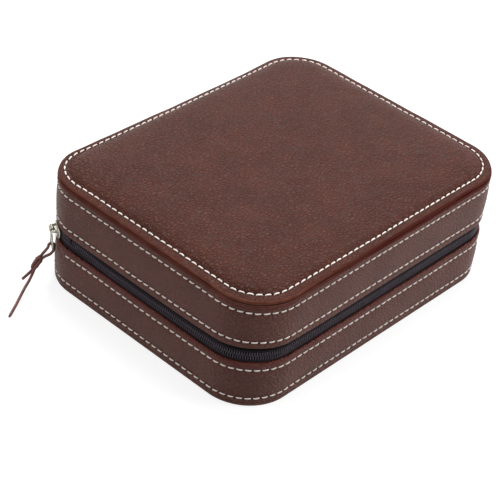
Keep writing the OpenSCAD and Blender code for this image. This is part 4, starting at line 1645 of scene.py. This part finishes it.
def apply_modifiers(piece):
    """Replaces a piece's mesh by what its modifiers make of it."""
    graph = bpy.context.evaluated_depsgraph_get()
    made = bpy.data.meshes.new_from_object(piece.evaluated_get(graph))
    piece.modifiers.clear()
    piece.data = made


def vertex_places(piece):
    places = np.zeros(len(piece.data.vertices) * 3)
    piece.data.vertices.foreach_get("co", places)
    return places.reshape(-1, 3)


def set_places(piece, places):
    piece.data.vertices.foreach_set("co", places.ravel())
    piece.data.update()


def subdivide(piece):
    finer = piece.modifiers.new("finer", "SUBSURF")
    finer.levels = 1
    finer.render_levels = 1
    apply_modifiers(piece)


def fit_box(places, low, high):
    """Stretches points evenly each way so that they fill a box."""
    mine_low = places.min(axis=0)
    mine_high = places.max(axis=0)
    return low + (places - mine_low) * (high - low) / (mine_high - mine_low)


def pillow_form():
    """Puffed pillow about its own middle, with two sewn seams across it and faint puckers
    beside them."""
    start = cushion_grid(0.47 * PILLOW_L, 0.46 * PILLOW_W, 0.92 * PILLOW_H, 0.06)
    shape = surface("pillow_form", start, poles=True)
    puff(shape)
    subdivide(shape)
    half = np.array([PILLOW_L, PILLOW_W, PILLOW_H]) / 2
    places = fit_box(vertex_places(shape), -half, half)
    out = places / half ** 2
    out /= np.linalg.norm(out, axis=1)[:, None]
    angle = np.arctan2(places[:, 2], places[:, 1])
    seam_off = np.abs(np.abs(places[:, 0]) - 0.34 * PILLOW_L)
    drawn = 0.9 * MM * bump(seam_off, 1.3 * MM) + 0.5 * MM * bump(seam_off, 4 * MM)
    gathers = np.sin(26 * angle + 3 * np.sin(3 * angle))
    pucker = 0.28 * MM * gathers * bump(seam_off - 2.6 * MM, 2.6 * MM)
    set_places(shape, places - out * (drawn + pucker)[:, None])
    shape.data.shade_smooth()
    return shape


def make_pillows():
    form = pillow_form()
    rest_places = vertex_places(form)
    for name, turned in (("pillow_front_left", 1), ("pillow_front_right", -1),
                         ("pillow_back_left", -1), ("pillow_back_right", 1)):
        low, high = (np.array(c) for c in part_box(name))
        piece = form.copy()
        piece.data = form.data.copy()
        piece.name = name + "_suede"
        link(piece)
        places = rest_places * np.array([turned, turned, 1])
        set_places(piece, fit_box(places, low, high))
        dress(piece, PILLOW_SUEDE, name, [name])
    bpy.data.objects.remove(form)


def make_lid_pad():
    """Pad on the lid's ceiling: flat above, below it a soft crown that rises from a rounded rim
    and is drawn in by a sewn line a little way in."""
    low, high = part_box("lid_inner_pad")
    s = ALL_ROUND[None, ::3]
    first = HALF_L - high.x
    thick = high.z - low.z
    turn = np.linspace(QUARTER, -0.2, 9)
    across = MM * np.array([
        0.6, 1.4, 2.4, 3.2, 3.8, 4.2, 4.6, 5.0, 5.6, 6.4, 7.4, 8.6, 10, 12, 15, 19, 24, 32, 42, 54,
        66])
    r = 0.3 * thick
    inset = np.concatenate([
        np.array([66, 44, 28, 16]) * MM, first + r - r * np.cos(turn), first + r + across])
    inset = np.minimum(inset, HALF_W - 2 * MM)
    down = thick * (0.62 + 0.38 * np.sin(np.clip(across / (26 * MM), 0, 1) * QUARTER))
    down = down - 1.5 * MM * bump(across - 4.6 * MM, 0.8 * MM)
    side = np.linspace(0, 0.62, len(turn)) * thick
    height = high.z - np.concatenate([np.zeros(4), side, down])
    grid = plan_ring(s, inset[:, None] + 0 * s, height[:, None] + 0 * s)
    pad = surface("lid_pad", grid, poles=True)
    dress(pad, PILLOW_SUEDE, "lid", ["lid_inner_pad"])


make_pillows()
make_lid_pad()


# Nodes that keep their own shape

def repaint(name, material):
    """Gives a node of the frame its finish."""
    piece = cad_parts[name]
    piece.data.materials.clear()
    piece.data.materials.append(material)


for board in ("base_floor_board", "base_wall_board", "lid_wall_board", "lid_top_board"):
    repaint(board, BOARD)
repaint("lid_top_pad", FOAM)


# Studio

WHITE = (1, 1, 1, 1)
# The floor's own brightness and its tone, and how far it lies under the case
FLOOR_GLOW = 0.80
FLOOR_TONE = 0.31
FLOOR_BELOW = 0.05 * MM
WORLD_LIGHT = 0.4


def seen_or_mirrored(tree):
    """One for rays from the camera, in a gloss or through glass."""
    seen = node(tree, "LightPath").outputs
    either = maths(tree, "MAXIMUM", seen["Is Camera Ray"], seen["Is Glossy Ray"])
    return maths(tree, "MAXIMUM", either, seen["Is Transmission Ray"])


def empty_tree(thing):
    """Node tree of a material or a world, emptied."""
    thing.use_nodes = True
    thing.node_tree.nodes.clear()
    return thing.node_tree


def join_shaders(tree, kind, output, *parts):
    """Feeds parts into a node that joins shaders, and its result into the tree's output."""
    both = node(tree, kind)
    for socket, part in zip(both.inputs, parts):
        tree.links.new(part, socket)
    tree.links.new(both.outputs[0], node(tree, output).inputs["Surface"])


def pale_floor():
    """Matt floor, part of whose brightness is its own where the camera or a gloss sees it, so
    that it is white and still takes the shadow."""
    made = bpy.data.materials.new("pale_floor")
    tree = empty_tree(made)
    strength = maths(tree, "MULTIPLY", seen_or_mirrored(tree), FLOOR_GLOW)
    glow = node(tree, "Emission", Color=WHITE, Strength=strength)
    matt = node(tree, "BsdfDiffuse", Color=(FLOOR_TONE, FLOOR_TONE, FLOOR_TONE, 1))
    join_shaders(tree, "AddShader", "OutputMaterial", glow.outputs[0], matt.outputs[0])
    return made


def make_floor():
    half = 4.0
    corners = half * np.array([(-1, -1, 0), (1, -1, 0), (1, 1, 0), (-1, 1, 0)])
    floor = new_object("floor", corners - FLOOR_BELOW * UP, [[0, 1, 2, 3]])
    floor.data.materials.append(pale_floor())


def lamp(name, at, towards, size, watts):
    """Square soft light at a place, facing a point."""
    data = bpy.data.lights.new(name, "AREA")
    data.shape = "SQUARE"
    data.size = size
    data.energy = watts
    light = bpy.data.objects.new(name, data)
    direction = np.array(towards) - np.array(at)
    light.rotation_euler = Vector(direction.tolist()).to_track_quat("-Z", "Y").to_euler()
    light.location = at
    link(light)


def make_world():
    """Even pale surroundings: white where seen or mirrored, and a plain level as light."""
    world = bpy.data.worlds.new("studio")
    bpy.context.scene.world = world
    tree = empty_tree(world)
    lit = node(tree, "Background", Color=(0.98, 0.99, 1, 1), Strength=WORLD_LIGHT)
    white = node(tree, "Background", Color=WHITE, Strength=1.0)
    join_shaders(tree, "MixShader", "OutputWorld", seen_or_mirrored(tree), lit.outputs[0], white.outputs[0])


make_floor()
make_world()
lamp("overhead", (0.30, 0.22, 1.50), (-0.02, -0.02, 0.05), 0.6, 14)
lamp("behind", (1.12, 0.90, 1.42), (-0.07, -0.06, 0.07), 0.45, 18)
lamp("right", (1.0, -1.2, 0.7), (0, 0, 0.03), 0.8, 18)
lamp("left", (-1.3, 0.5, 0.6), (0, 0, 0.03), 0.8, 5.5)

bpy.context.scene.view_settings.view_transform = "Standard"
